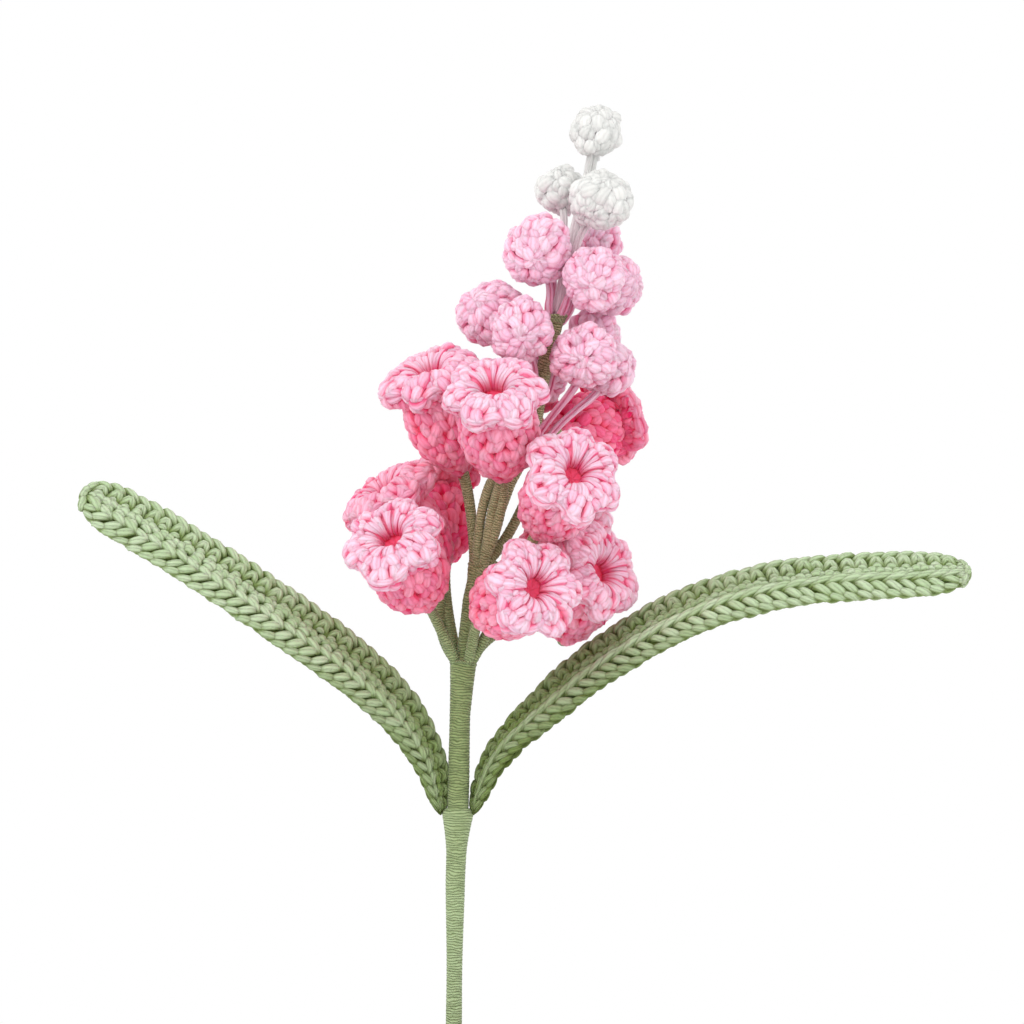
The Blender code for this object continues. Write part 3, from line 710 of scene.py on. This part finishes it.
def leaf_run(piece, leaf, rng, offset, reach, across, rise, thick, tint, jitter):
    """One strand repeated along a leaf: how far it reaches, and its course across.

    The course gives, for each part of the strand, the share of the way from the lower
    edge to the upper one. Shares over one run on behind the leaf.
    """
    starts = np.arange(0.3, leaf.length - LEAF_LINK * 0.9, LEAF_LINK) + offset
    count = len(starts)
    u = np.linspace(0, 1, 8)[None]
    course, height = (np.interp(u, np.linspace(0, 1, len(knots)), knots)
                      for knots in (across, rise))
    slip, aside, girth, raised, stretch, slant = rng.normal(0, 1, (count, 6)).T[..., None]
    s = starts[:, None] + reach * (1 + 0.05 * stretch) * u + 0.12 * jitter * slip
    q = course + jitter * (0.008 * aside + 0.012 * slant * (u - 0.5))
    s = np.minimum(s, leaf.length - 0.3 - 1.2 * np.abs(q - 0.5).clip(0, 0.5))
    behind = q > 1
    fold = np.where(behind, 2 - q, q)
    t = np.arccos(np.clip(1 - 2 * fold, -1, 1)) / np.pi
    t = np.where(behind, 2 - t, t)
    narrow = np.minimum(1.0, leaf.width_at(s) / (0.80 * LEAF_WIDTH)) ** 0.7
    size = thick * narrow * (1 + 0.06 * girth)
    radius = size * (0.58 + 0.46 * hump(u, 0.5))
    lift = size * height + 0.08 * jitter * raised
    # Painted shade: darker towards the root, where the flower shades the leaf, with the run's
    # shadow and the leaf's own painted shade
    shadow = np.clip(tint + leaf.dusk + 0.9 * (1 - s / (0.55 * leaf.length)), 0, 1)
    leaf.work(piece, s, t, lift, radius, rng, shadow)


def make_leaf(name, finish):
    """A long strip: a braid on its lower edge, arches and knobs above, a cord on top."""
    rng = np.random.default_rng(list(LEAVES).index(name) + 301)
    leaf = Leaf(name)
    piece = Piece()
    s = np.linspace(0.2, leaf.length - 0.6, 120)
    leaf.core(piece, s, np.linspace(0, 2, 29)[:-1], 0.4, 1.0)
    for run in LEAF_BRAID + LEAF_LEGS[name] + LEAF_CREST:
        leaf_run(piece, leaf, rng, *run)
    for low in LEAF_BACK:
        middle = low + 0.105
        for course in ((low, low + 0.04, low + 0.08, middle),
                       (low + 0.21, low + 0.17, low + 0.13, middle)):
            leaf_run(piece, leaf, rng, 0.0, 5.2, course, BEAN, 1.12, 0.2, 1.0)
    close_tip(piece, leaf, rng)
    return piece.make(name + "_yarn", finish, [name])


def close_tip(piece, leaf, rng):
    """Drops of yarn laid round the tip, on its face and behind it."""
    u = np.linspace(0, 1, 7)[None]
    share = np.linspace(-0.04, 0.72, 4)[:, None] + 0.34 * u
    s = leaf.length - 0.7 - 1.8 * (2 * share - 1) ** 2
    turn = np.arccos(np.clip(1 - 2 * share, -1, 1)) / np.pi
    for t in (turn, 2 - turn):
        lift = 0.1 + 0.3 * hump(u) - 0.8 * u + 0 * share
        leaf.work(piece, s, t, lift, 1.25 * (0.58 + 0.46 * hump(u, 0.5)), rng, 0.1)


def transported(path):
    """Two directions across a line at each point, without twist."""
    way = unit(np.gradient(path, axis=0))
    side = np.empty_like(path)
    side[0] = unit(np.cross(way[0], (0.0, 1.0, 0.3)))
    for i in range(1, len(path)):
        left = side[i - 1] - way[i] * side[i - 1].dot(way[i])
        side[i] = left / np.linalg.norm(left)
    return side, np.cross(way, side)


def wound(piece, line, radii, rng, tint, sides, wide, dark):
    """A bar wound with fine thread, a little uneven. The finish draws the thread."""
    arc = arc_length(line)
    lengths = np.arange(0, arc[-1], 0.45)
    path = along_line(line, lengths)
    radius = np.interp(lengths, arc, radii)[:, None]
    wide, tint, dark = (np.interp(lengths, arc, np.broadcast_to(value, arc.shape))[:, None]
                        for value in (wide, tint, dark))
    side, up = transported(path)
    angle = TURN * np.arange(sides) / sides
    bend = rng.uniform(0, TURN, 4)
    turns = lengths[:, None] / 1.35 - angle / TURN + 0.2 * np.sin(angle + lengths[:, None] / 9)
    uneven = (0.07 * np.sin(2 * angle + lengths[:, None] / 5.3 + bend[3])
              + 0.05 * np.sin(TURN * turns + np.sin(lengths[:, None] / 3 + bend[0])))
    around = radius + uneven
    points = (path[:, None] + ((around + wide) * np.cos(angle))[..., None] * side[:, None]
              + (around * np.sin(angle))[..., None] * up[:, None])
    values = np.empty(points.shape)
    values[..., 0] = dark
    values[..., 1] = rng.uniform(-1, 1)
    values[..., 2] = tint
    piece.grid(points[None], values[None], lengths[None], flip=True)


def stem_at(heights):
    """Points on the stem's axis at the given heights."""
    knots = np.array([point for point, _ in STEM])
    return at_rows(heights, knots[:, 2], knots)


def thread_ring(piece, height, radius, thread, tilt, side, tint):
    """One closed turn of thread at the rim of a binding, slanted to one side."""
    angle = np.linspace(0, TURN, RING_STEPS)
    off = np.column_stack([np.cos(angle), np.sin(angle), 0 * angle])
    path = stem_at(height + tilt * np.cos(angle - side)) + off * radius
    even = np.ones((1, RING_STEPS))
    piece.strands(path[None], off[None], thread * even, 0.6 * even, [0.5], tint * even, 6, 1.3)


def pedicel_line(name):
    """From the binding on the stem, beside it and up to just under the bell's base."""
    throat, axis, _, height = BELLS[name]
    way = unit(np.asarray(axis, float))
    base = np.asarray(throat, float) - way * (BELL_LENGTH - THROAT_DEPTH)
    spot, up, thick = axis_at(STEM, height)
    neck = base - way * PEDICEL_NECK
    out = (neck - spot) * (1.0, 1.0, 0.0)
    flat = np.linalg.norm(out)
    splay = PEDICEL_SPLAY * flat / (flat + neck[2] - spot[2])
    out = out / flat
    root = spot + out * (thick - PEDICEL_SINK)
    reach = np.linalg.norm(neck - root)
    bend = np.array(BENDS.get(name, (0.0, 0.0, 0.0)))
    path = bezier(root, root + unit(up + out * splay) * reach * PEDICEL_RISE + bend,
                  neck - way * reach * 0.25 + bend, neck, 30)
    return np.vstack([root - up * 2.0, path, base + way * 0.9])


# The heights at which the thread turns from green to brown
DUSK = (188.0, 205.0, 226.0)

# The wound stem's radius at each height: it thins above each binding
STEM_LOOK = (
    (6.3, 2.1), (95.0, 2.2), (115.0, 2.45), (128.0, 2.75), (137.0, 3.0), (152.0, 2.95),
    (171.5, 2.95), (180.0, 3.25), (185.6, 3.6), (186.6, 3.3), (187.6, 2.1), (209.0, 2.1),
    (212.4, 2.7), (213.8, 2.6), (215.5, 2.0), (236.8, 2.1), (262.0, 2.1), (279.0, 2.3),
    (283.2, 2.4),
)

# The turns of thread at the bindings and at the stem's cut top: the height, the ring's
# radius and the thread's, the tilt and the side it tilts to, and how brown it is
RING_STEPS = 60
RINGS = (
    (185.9, 3.55, 0.36, 0.7, 4.2, 0.0), (213.4, 2.75, 0.34, 0.5, 3.6, 0.7),
    (281.7, 2.50, 0.42, 0.1, 1.0, 0.6), (282.4, 2.62, 0.42, 0.1, 1.0, 0.6),
    (283.1, 2.74, 0.42, 0.1, 1.0, 0.6), (283.8, 2.85, 0.42, 0.1, 1.0, 0.6),
)

# Two wires beside bell_2's pedicel, from the binding up to the bell's base
BELL_2_WIRES = (
    (((5.6, -0.6, 210.5), (6.0, -2.2, 219.0), (7.4, -3.8, 229.0), (9.8, -7.0, 236.5),
      (12.4, -10.2, 239.0)), 1.35),
    (((7.4, -0.6, 211.5), (8.6, -3.2, 219.0), (10.3, -5.2, 229.0), (12.2, -8.4, 236.0),
      (13.4, -10.6, 239.2)), 1.45),
)


def make_stem(finish):
    """The stem and the pedicels, wound with thread, with a binding where they part."""
    rng = np.random.default_rng(401)
    piece = Piece()

    def wind_wire(path, radius, dark):
        dusk = np.interp(path[:, 2], DUSK, (0.0, 0.4, 1.0))
        wound(piece, path, radius, rng, dusk, 12, 0.0, dark)

    line = stem_at(np.linspace(STEM[0][0][2], STEM[-1][0][2] - 0.5, 500))
    height = line[:, 2]
    wound(piece, line, np.interp(height, *zip(*STEM_LOOK)), rng,
          np.interp(height, DUSK, (0.0, 0.35, 1.0)), 18, 0.0,
          np.interp(height, (118.0, 150.0), (0.0, 1.0)))
    for name in BELLS:
        path = pedicel_line(name)
        reach = arc_length(path)
        wind_wire(path, np.interp(reach, (0, 9, reach[-1] - 4, reach[-1]),
                                  (1.35, 1.45, PEDICEL_RADIUS, 1.9)), 0.7)
    # The cone of thread that binds the leaves' roots to the stem
    cone = stem_at(np.linspace(131.5, 145.6, 40))
    grow = np.linspace(0, 1, 40)
    brim = np.sqrt(np.clip((1.0 - grow) / 0.14, 0.02, 1.0))
    wound(piece, cone, 2.75 + 0.6 * grow * brim, rng, 0.0, 18, 1.5 * grow ** 1.6 * brim, 0.4)
    for ring in RINGS:
        thread_ring(piece, *ring)
    for points, thick in BELL_2_WIRES:
        wind_wire(smooth_line(points, 40), np.full(40, thick), 0.2)
    return piece.make("stem_thread", finish, ["stem"])


class Graph:
    """Short calls for the nodes of one material."""

    def __init__(self, name):
        self.material = bpy.data.materials.new(name)
        self.material.use_nodes = True
        self.nodes = self.material.node_tree.nodes
        self.links = self.material.node_tree.links
        self.shader = self.nodes["Principled BSDF"]

    def add(self, kind, inputs=(), **settings):
        """A node with its settings and inputs, which are values or other nodes' outputs."""
        node = self.nodes.new(kind)
        for key, value in settings.items():
            setattr(node, key, value)
        for key, value in dict(inputs).items():
            self.put(node.inputs[key], value)
        return node

    def put(self, socket, value):
        """Set a socket or link it."""
        if isinstance(value, bpy.types.NodeSocket):
            self.links.new(value, socket)
        else:
            socket.default_value = value

    def math(self, operation, a, b=0.0):
        """One sum."""
        return self.add("ShaderNodeMath", {0: a, 1: b}, operation=operation).outputs[0]

    def times(self, a, b):
        """A product."""
        return self.math("MULTIPLY", a, b)

    def plus(self, a, b):
        """A sum of two."""
        return self.math("ADD", a, b)

    def ridges(self, turns):
        """Round ridges side by side, one for each unit."""
        return self.math("ABSOLUTE", self.math("SINE", self.times(turns, math.pi)))

    def noise(self, vector, scale, detail, roughness=0.5):
        """A cloudy pattern, from 0 to 1."""
        return self.add("ShaderNodeTexNoise", {"Vector": vector, "Scale": scale, "Detail": detail,
                                               "Roughness": roughness}).outputs["Fac"]

    def place(self):
        """Where a point lies on the object."""
        return self.add("ShaderNodeTexCoord").outputs["Object"]

    def strand(self):
        """How far along its strand a point lies, and its share of the way round it."""
        coords = self.add("ShaderNodeUVMap", uv_map="Yarn").outputs["UV"]
        parts = self.add("ShaderNodeSeparateXYZ", {0: coords})
        return parts.outputs["X"], parts.outputs["Y"]

    def stretched(self, parts, scales):
        """A pattern's coordinates from three numbers, each by its own scale."""
        scaled = {axis: self.times(part, scale) for axis, part, scale in zip("XYZ", parts, scales)}
        return self.add("ShaderNodeCombineXYZ", scaled).outputs[0]

    def finish(self, colour, roughness, specular, height, strength, distance):
        """The material with its colour, its gloss and its relief."""
        self.put(self.shader.inputs["Base Color"], colour)
        self.put(self.shader.inputs["Roughness"], roughness)
        self.shader.inputs["Specular IOR Level"].default_value = specular
        bump = self.add("ShaderNodeBump", {"Strength": strength, "Distance": distance,
                                           "Height": height})
        self.put(self.shader.inputs["Normal"], bump.outputs["Normal"])
        return self.material

    def value(self, label):
        """A number kept at each point of the mesh."""
        return self.add("ShaderNodeAttribute", attribute_name=label).outputs["Fac"]

    def ramp(self, factor, low, high, from_value=0.0, to_value=1.0):
        """A smooth step between two numbers of the factor, to low and high."""
        return self.add("ShaderNodeMapRange", {
            "Value": factor, "From Min": from_value, "From Max": to_value,
            "To Min": low, "To Max": high}, interpolation_type="SMOOTHSTEP").outputs["Result"]

    def mix(self, factor, a, b, blend="MIX"):
        """A mix of two colours."""
        node = self.add("ShaderNodeMix", data_type="RGBA", blend_type=blend)
        self.put(node.inputs["Factor"], factor)
        self.put(node.inputs[6], a)
        self.put(node.inputs[7], b)
        return node.outputs[2]


def rgb(red, green, blue):
    """A colour from its parts as they look on a screen, from 0 to 255."""
    linear = [((c / 255 + 0.055) / 1.055) ** 2.4 for c in (red, green, blue)]
    return (*linear, 1.0)


def yarn_material(name, colours, plies, relief, reach, glow, groove_shading):
    """Soft spun yarn: plies that wind round the strand, loose fibres, darker creases.

    The strand's own coordinates place the plies. What lies lower on the strand takes the crease
    colour:
    painted shade in the creases, or on the white yarn a touch of painted light. The second pair of
    colours is for tinted parts: deeper painted shade on the bells and leaves, the tails' pinker
    yarn on the buds.
    """
    crest, crease, second, second_crease = (rgb(*colour) for colour in colours)
    groove_shade_low, groove_red = groove_shading
    g = Graph(name)
    lift, shade, tint = g.value("lift"), g.value("shade"), g.value("tint")
    along, around = g.strand()
    fibre = g.noise(g.stretched((along, around, shade), (0.35, 9.0, 9.0)), 2.6, 4.0, 0.65)
    wander = g.times(g.math("SUBTRACT", fibre, 0.5), 1.3)
    ply = g.ridges(g.plus(g.plus(g.times(around, plies), g.times(along, 0.16)), wander))
    # The crease colours are painted shade in the creases; the tinted pair is deeper painted shade
    # on the bells and leaves
    lit = g.mix(tint, crest, second)
    dark = g.mix(tint, crease, second_crease)
    colour = g.mix(g.ramp(lift, 0.0, 1.0, *reach), dark, lit)
    # Painted shade in the grooves between the plies: the colour is darker there, and less so in red
    ply_groove_shade = g.ramp(ply, groove_shade_low, 1.0, 0.0, 0.60)
    toned = g.add("ShaderNodeCombineColor", {"Red": g.math("POWER", ply_groove_shade, groove_red),
                                             "Green": ply_groove_shade, "Blue": ply_groove_shade})
    colour = g.mix(1.0, colour, toned.outputs[0], "MULTIPLY")
    vary = g.add("ShaderNodeHueSaturation", {
        "Hue": 0.5, "Saturation": g.ramp(shade, 1.10, 0.92, -1.0, 1.0),
        "Value": g.ramp(shade, 0.95, 1.05, -1.0, 1.0), "Color": colour})
    g.shader.inputs["Subsurface Weight"].default_value = 0.3
    g.shader.inputs["Subsurface Radius"].default_value = glow
    g.shader.inputs["Subsurface Scale"].default_value = 0.0012
    g.shader.inputs["Sheen Weight"].default_value = 0.06
    g.shader.inputs["Sheen Roughness"].default_value = 0.45
    height = g.plus(ply, g.times(fibre, 0.55))
    return g.finish(vary.outputs["Color"], g.ramp(fibre, 0.78, 0.95, 0.3, 0.7), 0.12,
                    height, 0.9, relief * MM)


def thread_material():
    """Fine thread in close turns round the wires, greener below and browner above."""
    g = Graph("stem_thread_wound")
    shade = g.value("shade")
    along, around = g.strand()
    spread = g.stretched((along, around, shade), (0.9, 5.0, 9.0))
    cloud = g.noise(spread, 0.8, 4.0, 0.6)
    fibre = g.noise(spread, 9.0, 3.0)
    wave = g.noise(g.stretched((along, around, shade), (0.28, 4.0, 5.0)), 1.0, 2.0)
    wind = g.plus(g.times(along, 1 / THREAD_PITCH), around)
    wind = g.plus(g.plus(wind, g.times(wave, 2.6)), g.times(cloud, 1.1))
    ridge = g.ridges(wind)
    # Painted light and shade: the crowns of the turns take the pale colours, the gaps between them
    # the dark ones
    open_share = g.times(g.ramp(ridge, 0.10, 1.0, 0.05, 0.85), g.ramp(cloud, 0.55, 1.0, 0.30, 0.62))
    pale = g.mix(open_share, rgb(104, 126, 76), rgb(174, 196, 150))
    deep = g.mix(open_share, rgb(74, 92, 42), rgb(144, 164, 108))
    speckled = g.times(open_share, g.ramp(fibre, 0.25, 1.50, 0.42, 0.60))
    brown = g.mix(speckled, rgb(88, 102, 46), rgb(208, 202, 160))
    colour = g.mix(g.value("tint"), g.mix(g.value("lift"), pale, deep), brown)
    colour = g.mix(g.ramp(fibre, 0.0, 0.35, 0.45, 0.7), colour, rgb(178, 182, 140))
    g.shader.inputs["Sheen Weight"].default_value = 0.2
    return g.finish(colour, g.ramp(fibre, 0.70, 0.90, 0.3, 0.7), 0.3,
                    g.plus(ridge, g.times(fibre, 0.4)), 0.9, 0.3 * MM)


def clay_material():
    """Unglazed fired clay: mottled, finely pitted, with a pale bloom near its foot."""
    g = Graph("clay_fired")
    place = g.place()
    cloud = g.noise(place, 38.0, 6.0, 0.6)
    grain = g.noise(place, 900.0, 3.0)
    height = g.add("ShaderNodeSeparateXYZ", {0: place}).outputs["Z"]
    bloom = g.times(g.ramp(height, 0.55, 0.0, 0.0, 0.028), g.ramp(cloud, 0.0, 1.0, 0.42, 0.62))
    colour = g.mix(g.ramp(cloud, 0.0, 1.0, 0.3, 0.7), rgb(176, 101, 68), rgb(201, 128, 92))
    colour = g.mix(bloom, colour, rgb(222, 190, 168))
    colour = g.mix(g.ramp(grain, 0.0, 0.28, 0.55, 0.75), colour, rgb(140, 74, 48))
    return g.finish(colour, g.ramp(cloud, 0.78, 0.92, 0.3, 0.7), 0.3,
                    g.plus(g.times(cloud, 0.7), g.times(grain, 0.5)), 0.6, 0.5 * MM)


def earth_material():
    """Dry potting soil: dark crumbs with a few lighter flecks of fibre and grit."""
    g = Graph("potting_soil")
    place = g.place()
    cloud = g.noise(place, 260.0, 6.0)
    fleck = g.add("ShaderNodeTexVoronoi", {"Vector": place, "Scale": 700.0}).outputs["Distance"]
    colour = g.mix(g.ramp(cloud, 0.0, 1.0, 0.35, 0.7), rgb(38, 27, 20), rgb(88, 66, 49))
    colour = g.mix(g.ramp(g.value("shade"), 0.0, 0.5, 0.2, 1.0), colour, rgb(120, 92, 66))
    colour = g.mix(g.ramp(fleck, 0.5, 0.0, 0.05, 0.12), colour, rgb(150, 126, 98))
    return g.finish(colour, g.ramp(cloud, 0.88, 1.0, 0.3, 0.7), 0.15, cloud, 0.8, 0.8 * MM)


# Each yarn: the colours of its crests and creases, plain and tinted (the crease colours are painted
# shade in the creases, a touch lighter on the white yarn as painted light, and the tinted pair is
# deeper painted shade on the bells and leaves), its plies, their relief in millimetres, the heights
# between which crease turns to crest, how it glows, and the painted shade in its ply grooves
YARNS = {
    "bell_yarn_spun": (
        ((246, 204, 226), (250, 126, 162), (250, 118, 156), (252, 84, 122)),
        7.0, 0.18, (0.10, 0.95), (1.0, 0.55, 0.65), (0.82, 0.15)),
    "bud_yarn_spun": (
        ((247, 204, 226), (248, 158, 190), (248, 180, 208), (246, 130, 168)),
        7.0, 0.18, (0.0, 0.9), (1.0, 0.60, 0.70), (0.82, 0.15)),
    "white_yarn_spun": (
        ((224, 225, 223), (236, 235, 235), (240, 208, 222), (240, 186, 206)),
        7.0, 0.12, (-0.2, 0.8), (1.0, 0.9, 0.9), (0.93, 1.0)),
    "leaf_yarn_spun": (
        ((190, 210, 174), (132, 152, 96), (124, 144, 90), (90, 106, 52)),
        6.0, 0.20, (0.0, 0.95), (0.7, 1.0, 0.6), (0.76, 0.9)),
}

# The pot's outline, from its inner floor over the rim and down to its flat base
POT_OUTLINE = (
    (0.0, 6.0), (23.6, 6.0), (24.6, 6.8), (37.35, 68.2), (37.6, 69.2), (38.4, 69.9),
    (39.6, 70.0), (40.9, 69.8), (41.7, 69.2), (42.0, 68.2), (41.85, 60.0), (41.7, 55.4),
    (41.3, 54.4), (40.4, 54.0), (39.6, 53.9), (39.1, 53.4), (38.9, 52.4), (34.0, 27.5), (29.3, 2.0),
    (28.9, 0.8), (28.1, 0.1), (27.4, 0.0), (0.0, 0.0),
)
POT_SIDES = 128
POT_UNEVEN = 0.08


def make_pot(finish):
    """The clay pot, turned from its outline and a little uneven."""
    piece = Piece()
    line = np.array(POT_OUTLINE)
    line[:, 0] = np.maximum(line[:, 0], 0.02)
    radius, height = line[:, :1], line[:, 1:]
    angle = TURN * np.arange(POT_SIDES) / POT_SIDES
    flat = radius + POT_UNEVEN * np.sin(3 * angle + height / 9) * (radius > 1)
    points = np.stack([flat * np.cos(angle), flat * np.sin(angle),
                       np.broadcast_to(height, flat.shape)], -1)[None]
    piece.grid(points, np.zeros(points.shape), arc_length(line)[None])
    return piece.make("pot_clay", finish, ["pot"])


# The soil's radii at its bottom, its top and round the stem's foot, its wall's heights, and
# the crumbs on it, in millimetres
SOIL_LOW, SOIL_HIGH, SOIL_HOLE = 24.2, 35.4, 2.9
SOIL_FLOOR, SOIL_EDGE, SOIL_LEVEL = 6.4, 60.6, 62.3
SOIL_RINGS, SOIL_SIDES, SOIL_WAVES = 60, 120, 40
CRUMBS = 420
CRUMB_SIDES, CRUMB_LEVELS = 7, 5
CRUMB_REACH = 33.6


def make_soil(finish):
    """Soil heaped a little round the stem's foot, with crumbs lying on it."""
    rng = np.random.default_rng(501)
    piece = Piece()
    rings = np.linspace(SOIL_HOLE, SOIL_HIGH, SOIL_RINGS)[:, None]
    angle = TURN * np.arange(SOIL_SIDES) / SOIL_SIDES
    x, y = rings * np.cos(angle), rings * np.sin(angle)
    bumps = 0
    for _ in range(SOIL_WAVES):
        pace, way, phase = rng.uniform(0.15, 1.1), rng.uniform(0, TURN), rng.uniform(0, TURN)
        bumps = bumps + np.sin(pace * (x * math.cos(way) + y * math.sin(way)) + phase)
    mound = SOIL_LEVEL + 1.4 * np.exp(-((rings - 8) / 9) ** 2) - 0.8 * (rings / 35) ** 6
    top = np.stack([x, y, mound + 0.55 * (bumps / 6.3)], -1)
    wall = np.stack([np.stack([r * np.cos(angle), r * np.sin(angle), 0 * angle + z], -1)
                     for r, z in ((SOIL_HIGH, SOIL_EDGE), (SOIL_LOW, SOIL_FLOOR),
                                  (SOIL_HOLE, SOIL_FLOOR))])
    points = np.concatenate([top, wall, top[:1]])
    lengths = np.arange(len(points), dtype=float)[None]
    piece.grid(points[None], np.zeros(points.shape)[None], lengths, caps=False)
    make_crumbs(piece, rings[:, 0], mound[:, 0], rng)
    return piece.make("soil_crumbs", finish, ["soil"])


def make_crumbs(piece, rings, mound, rng):
    """Small uneven lumps that lie on the soil."""
    radius = np.sqrt(rng.uniform(0.02, 1.0, CRUMBS)) * CRUMB_REACH
    turn = rng.uniform(0, TURN, CRUMBS)
    size = rng.gamma(3.0, 0.24, CRUMBS).clip(0.35, 1.8)
    centre = np.stack([radius * np.cos(turn), radius * np.sin(turn),
                       np.interp(radius, rings, mound) + size * 0.25], -1)
    clear = radius > SOIL_HOLE + 1.3
    centre, size = centre[clear], size[clear]
    polar = np.linspace(0.12, math.pi - 0.12, CRUMB_LEVELS)
    angle = TURN * np.arange(CRUMB_SIDES) / CRUMB_SIDES
    flat = np.sin(polar)[:, None]
    ball = np.stack([flat * np.cos(angle), flat * np.sin(angle),
                     np.broadcast_to(-np.cos(polar)[:, None], (CRUMB_LEVELS, CRUMB_SIDES))], -1)
    rough = 1 + rng.normal(0, 0.16, (len(size), CRUMB_LEVELS, CRUMB_SIDES, 1))
    squash = rng.uniform(0.55, 1.2, (len(size), 1, 1, 3))
    points = centre[:, None, None] + ball * rough * squash * size[:, None, None, None]
    values = np.zeros(points.shape)
    values[..., 1] = rng.uniform(0, 1, len(size))[:, None, None]
    piece.grid(points, values, np.broadcast_to(polar, (len(size), CRUMB_LEVELS)), flip=True)


# The floor's radius and where it fades out, the camera's distance, and the point that the
# lights look at, in metres
FLOOR_RADIUS = 0.56
FLOOR_FADE = (0.16, 0.54)
CAMERA_DISTANCE = 1.0
LIGHT_AIM = (0.02, 0.0, 0.22)

# Millimetres a pixel in the stem's plane, the picture's width in pixels, and the middle of
# the view and the width of the camera's sensor in millimetres
PIXEL = 0.28
PICTURE = 1024
VIEW_MIDDLE = (15.68, 228.36)
SENSOR = 36.0

# The strength of the room's light, and the power of the two lamps
WORLD_LIGHT = 1.10
KEY_POWER = 9.5
FILL_POWER = 2.0


def make_stage():
    """A pale floor that fades out round the pot."""
    bpy.ops.mesh.primitive_circle_add(vertices=96, radius=FLOOR_RADIUS, fill_type="NGON")
    floor = bpy.context.object
    floor.name = "floor"
    g = Graph("pale_floor")
    place = g.place()
    grain = g.noise(place, 60.0, 3.0)
    g.put(g.shader.inputs["Base Color"], g.mix(grain, rgb(244, 243, 242), rgb(250, 249, 248)))
    g.shader.inputs["Roughness"].default_value = 0.85
    g.shader.inputs["Specular IOR Level"].default_value = 0.1
    far = g.add("ShaderNodeVectorMath", {0: place}, operation="LENGTH").outputs["Value"]
    clear = g.add("ShaderNodeBsdfTransparent").outputs[0]
    fade = g.add("ShaderNodeMixShader", {0: g.ramp(far, 0.0, 1.0, *FLOOR_FADE),
                                         1: g.shader.outputs[0], 2: clear})
    g.put(g.nodes["Material Output"].inputs["Surface"], fade.outputs[0])
    floor.data.materials.append(g.material)


def area_light(name, place, size, power, colour):
    """A large soft light that looks at the flower."""
    data = bpy.data.lights.new(name, "AREA")
    data.size = size
    data.energy = power
    data.color = colour
    light = bpy.data.objects.new(name, data)
    light.location = place
    way = np.array(LIGHT_AIM) - np.array(place)
    light.rotation_euler = Vector(way).to_track_quat("-Z", "Y").to_euler()
    bpy.context.scene.collection.objects.link(light)


def make_studio():
    """A white room with soft light from the upper front, and the camera."""
    scene = bpy.context.scene
    world = bpy.data.worlds.new("white_room")
    world.use_nodes = True
    scene.world = world
    nodes, links = world.node_tree.nodes, world.node_tree.links
    seen = nodes["Background"]
    seen.inputs["Color"].default_value = (1.0, 1.0, 1.0, 1.0)
    seen.inputs["Strength"].default_value = 1.0
    lighting = nodes.new("ShaderNodeBackground")
    lighting.inputs["Color"].default_value = (1.0, 0.99, 0.98, 1.0)
    lighting.inputs["Strength"].default_value = WORLD_LIGHT
    path = nodes.new("ShaderNodeLightPath")
    both = nodes.new("ShaderNodeMixShader")
    links.new(path.outputs["Is Camera Ray"], both.inputs[0])
    links.new(lighting.outputs[0], both.inputs[1])
    links.new(seen.outputs[0], both.inputs[2])
    links.new(both.outputs[0], nodes["World Output"].inputs["Surface"])
    area_light("key", (-0.75, -1.35, 1.05), 1.1, KEY_POWER, (1.0, 0.98, 0.96))
    area_light("fill", (1.3, -0.9, 0.35), 1.2, FILL_POWER, (1.0, 1.0, 1.0))
    camera = bpy.data.cameras.new("camera")
    camera.sensor_width = SENSOR
    camera.lens = SENSOR * CAMERA_DISTANCE / (PICTURE * PIXEL * MM)
    camera.clip_start = 0.05
    camera.clip_end = 20.0
    eye = bpy.data.objects.new("camera", camera)
    eye.location = (VIEW_MIDDLE[0] * MM, -CAMERA_DISTANCE, VIEW_MIDDLE[1] * MM)
    eye.rotation_euler = (math.radians(90.0), 0.0, 0.0)
    scene.collection.objects.link(eye)
    scene.camera = eye
    scene.view_settings.view_transform = "Standard"


def build():
    """Every piece of the object, its stage and its light."""
    rose, pink, white, green = (yarn_material(name, *look) for name, look in YARNS.items())
    for name in BELLS:
        make_bell(name, rose)
    for name in BUDS:
        look = (white, "white_yarn") if "white" in name else (pink, "bud_yarn")
        make_bud(name, *look)
    for name in LEAVES:
        make_leaf(name, green)
    make_stem(thread_material())
    make_pot(clay_material())
    make_soil(earth_material())
    make_stage()
    make_studio()


build()
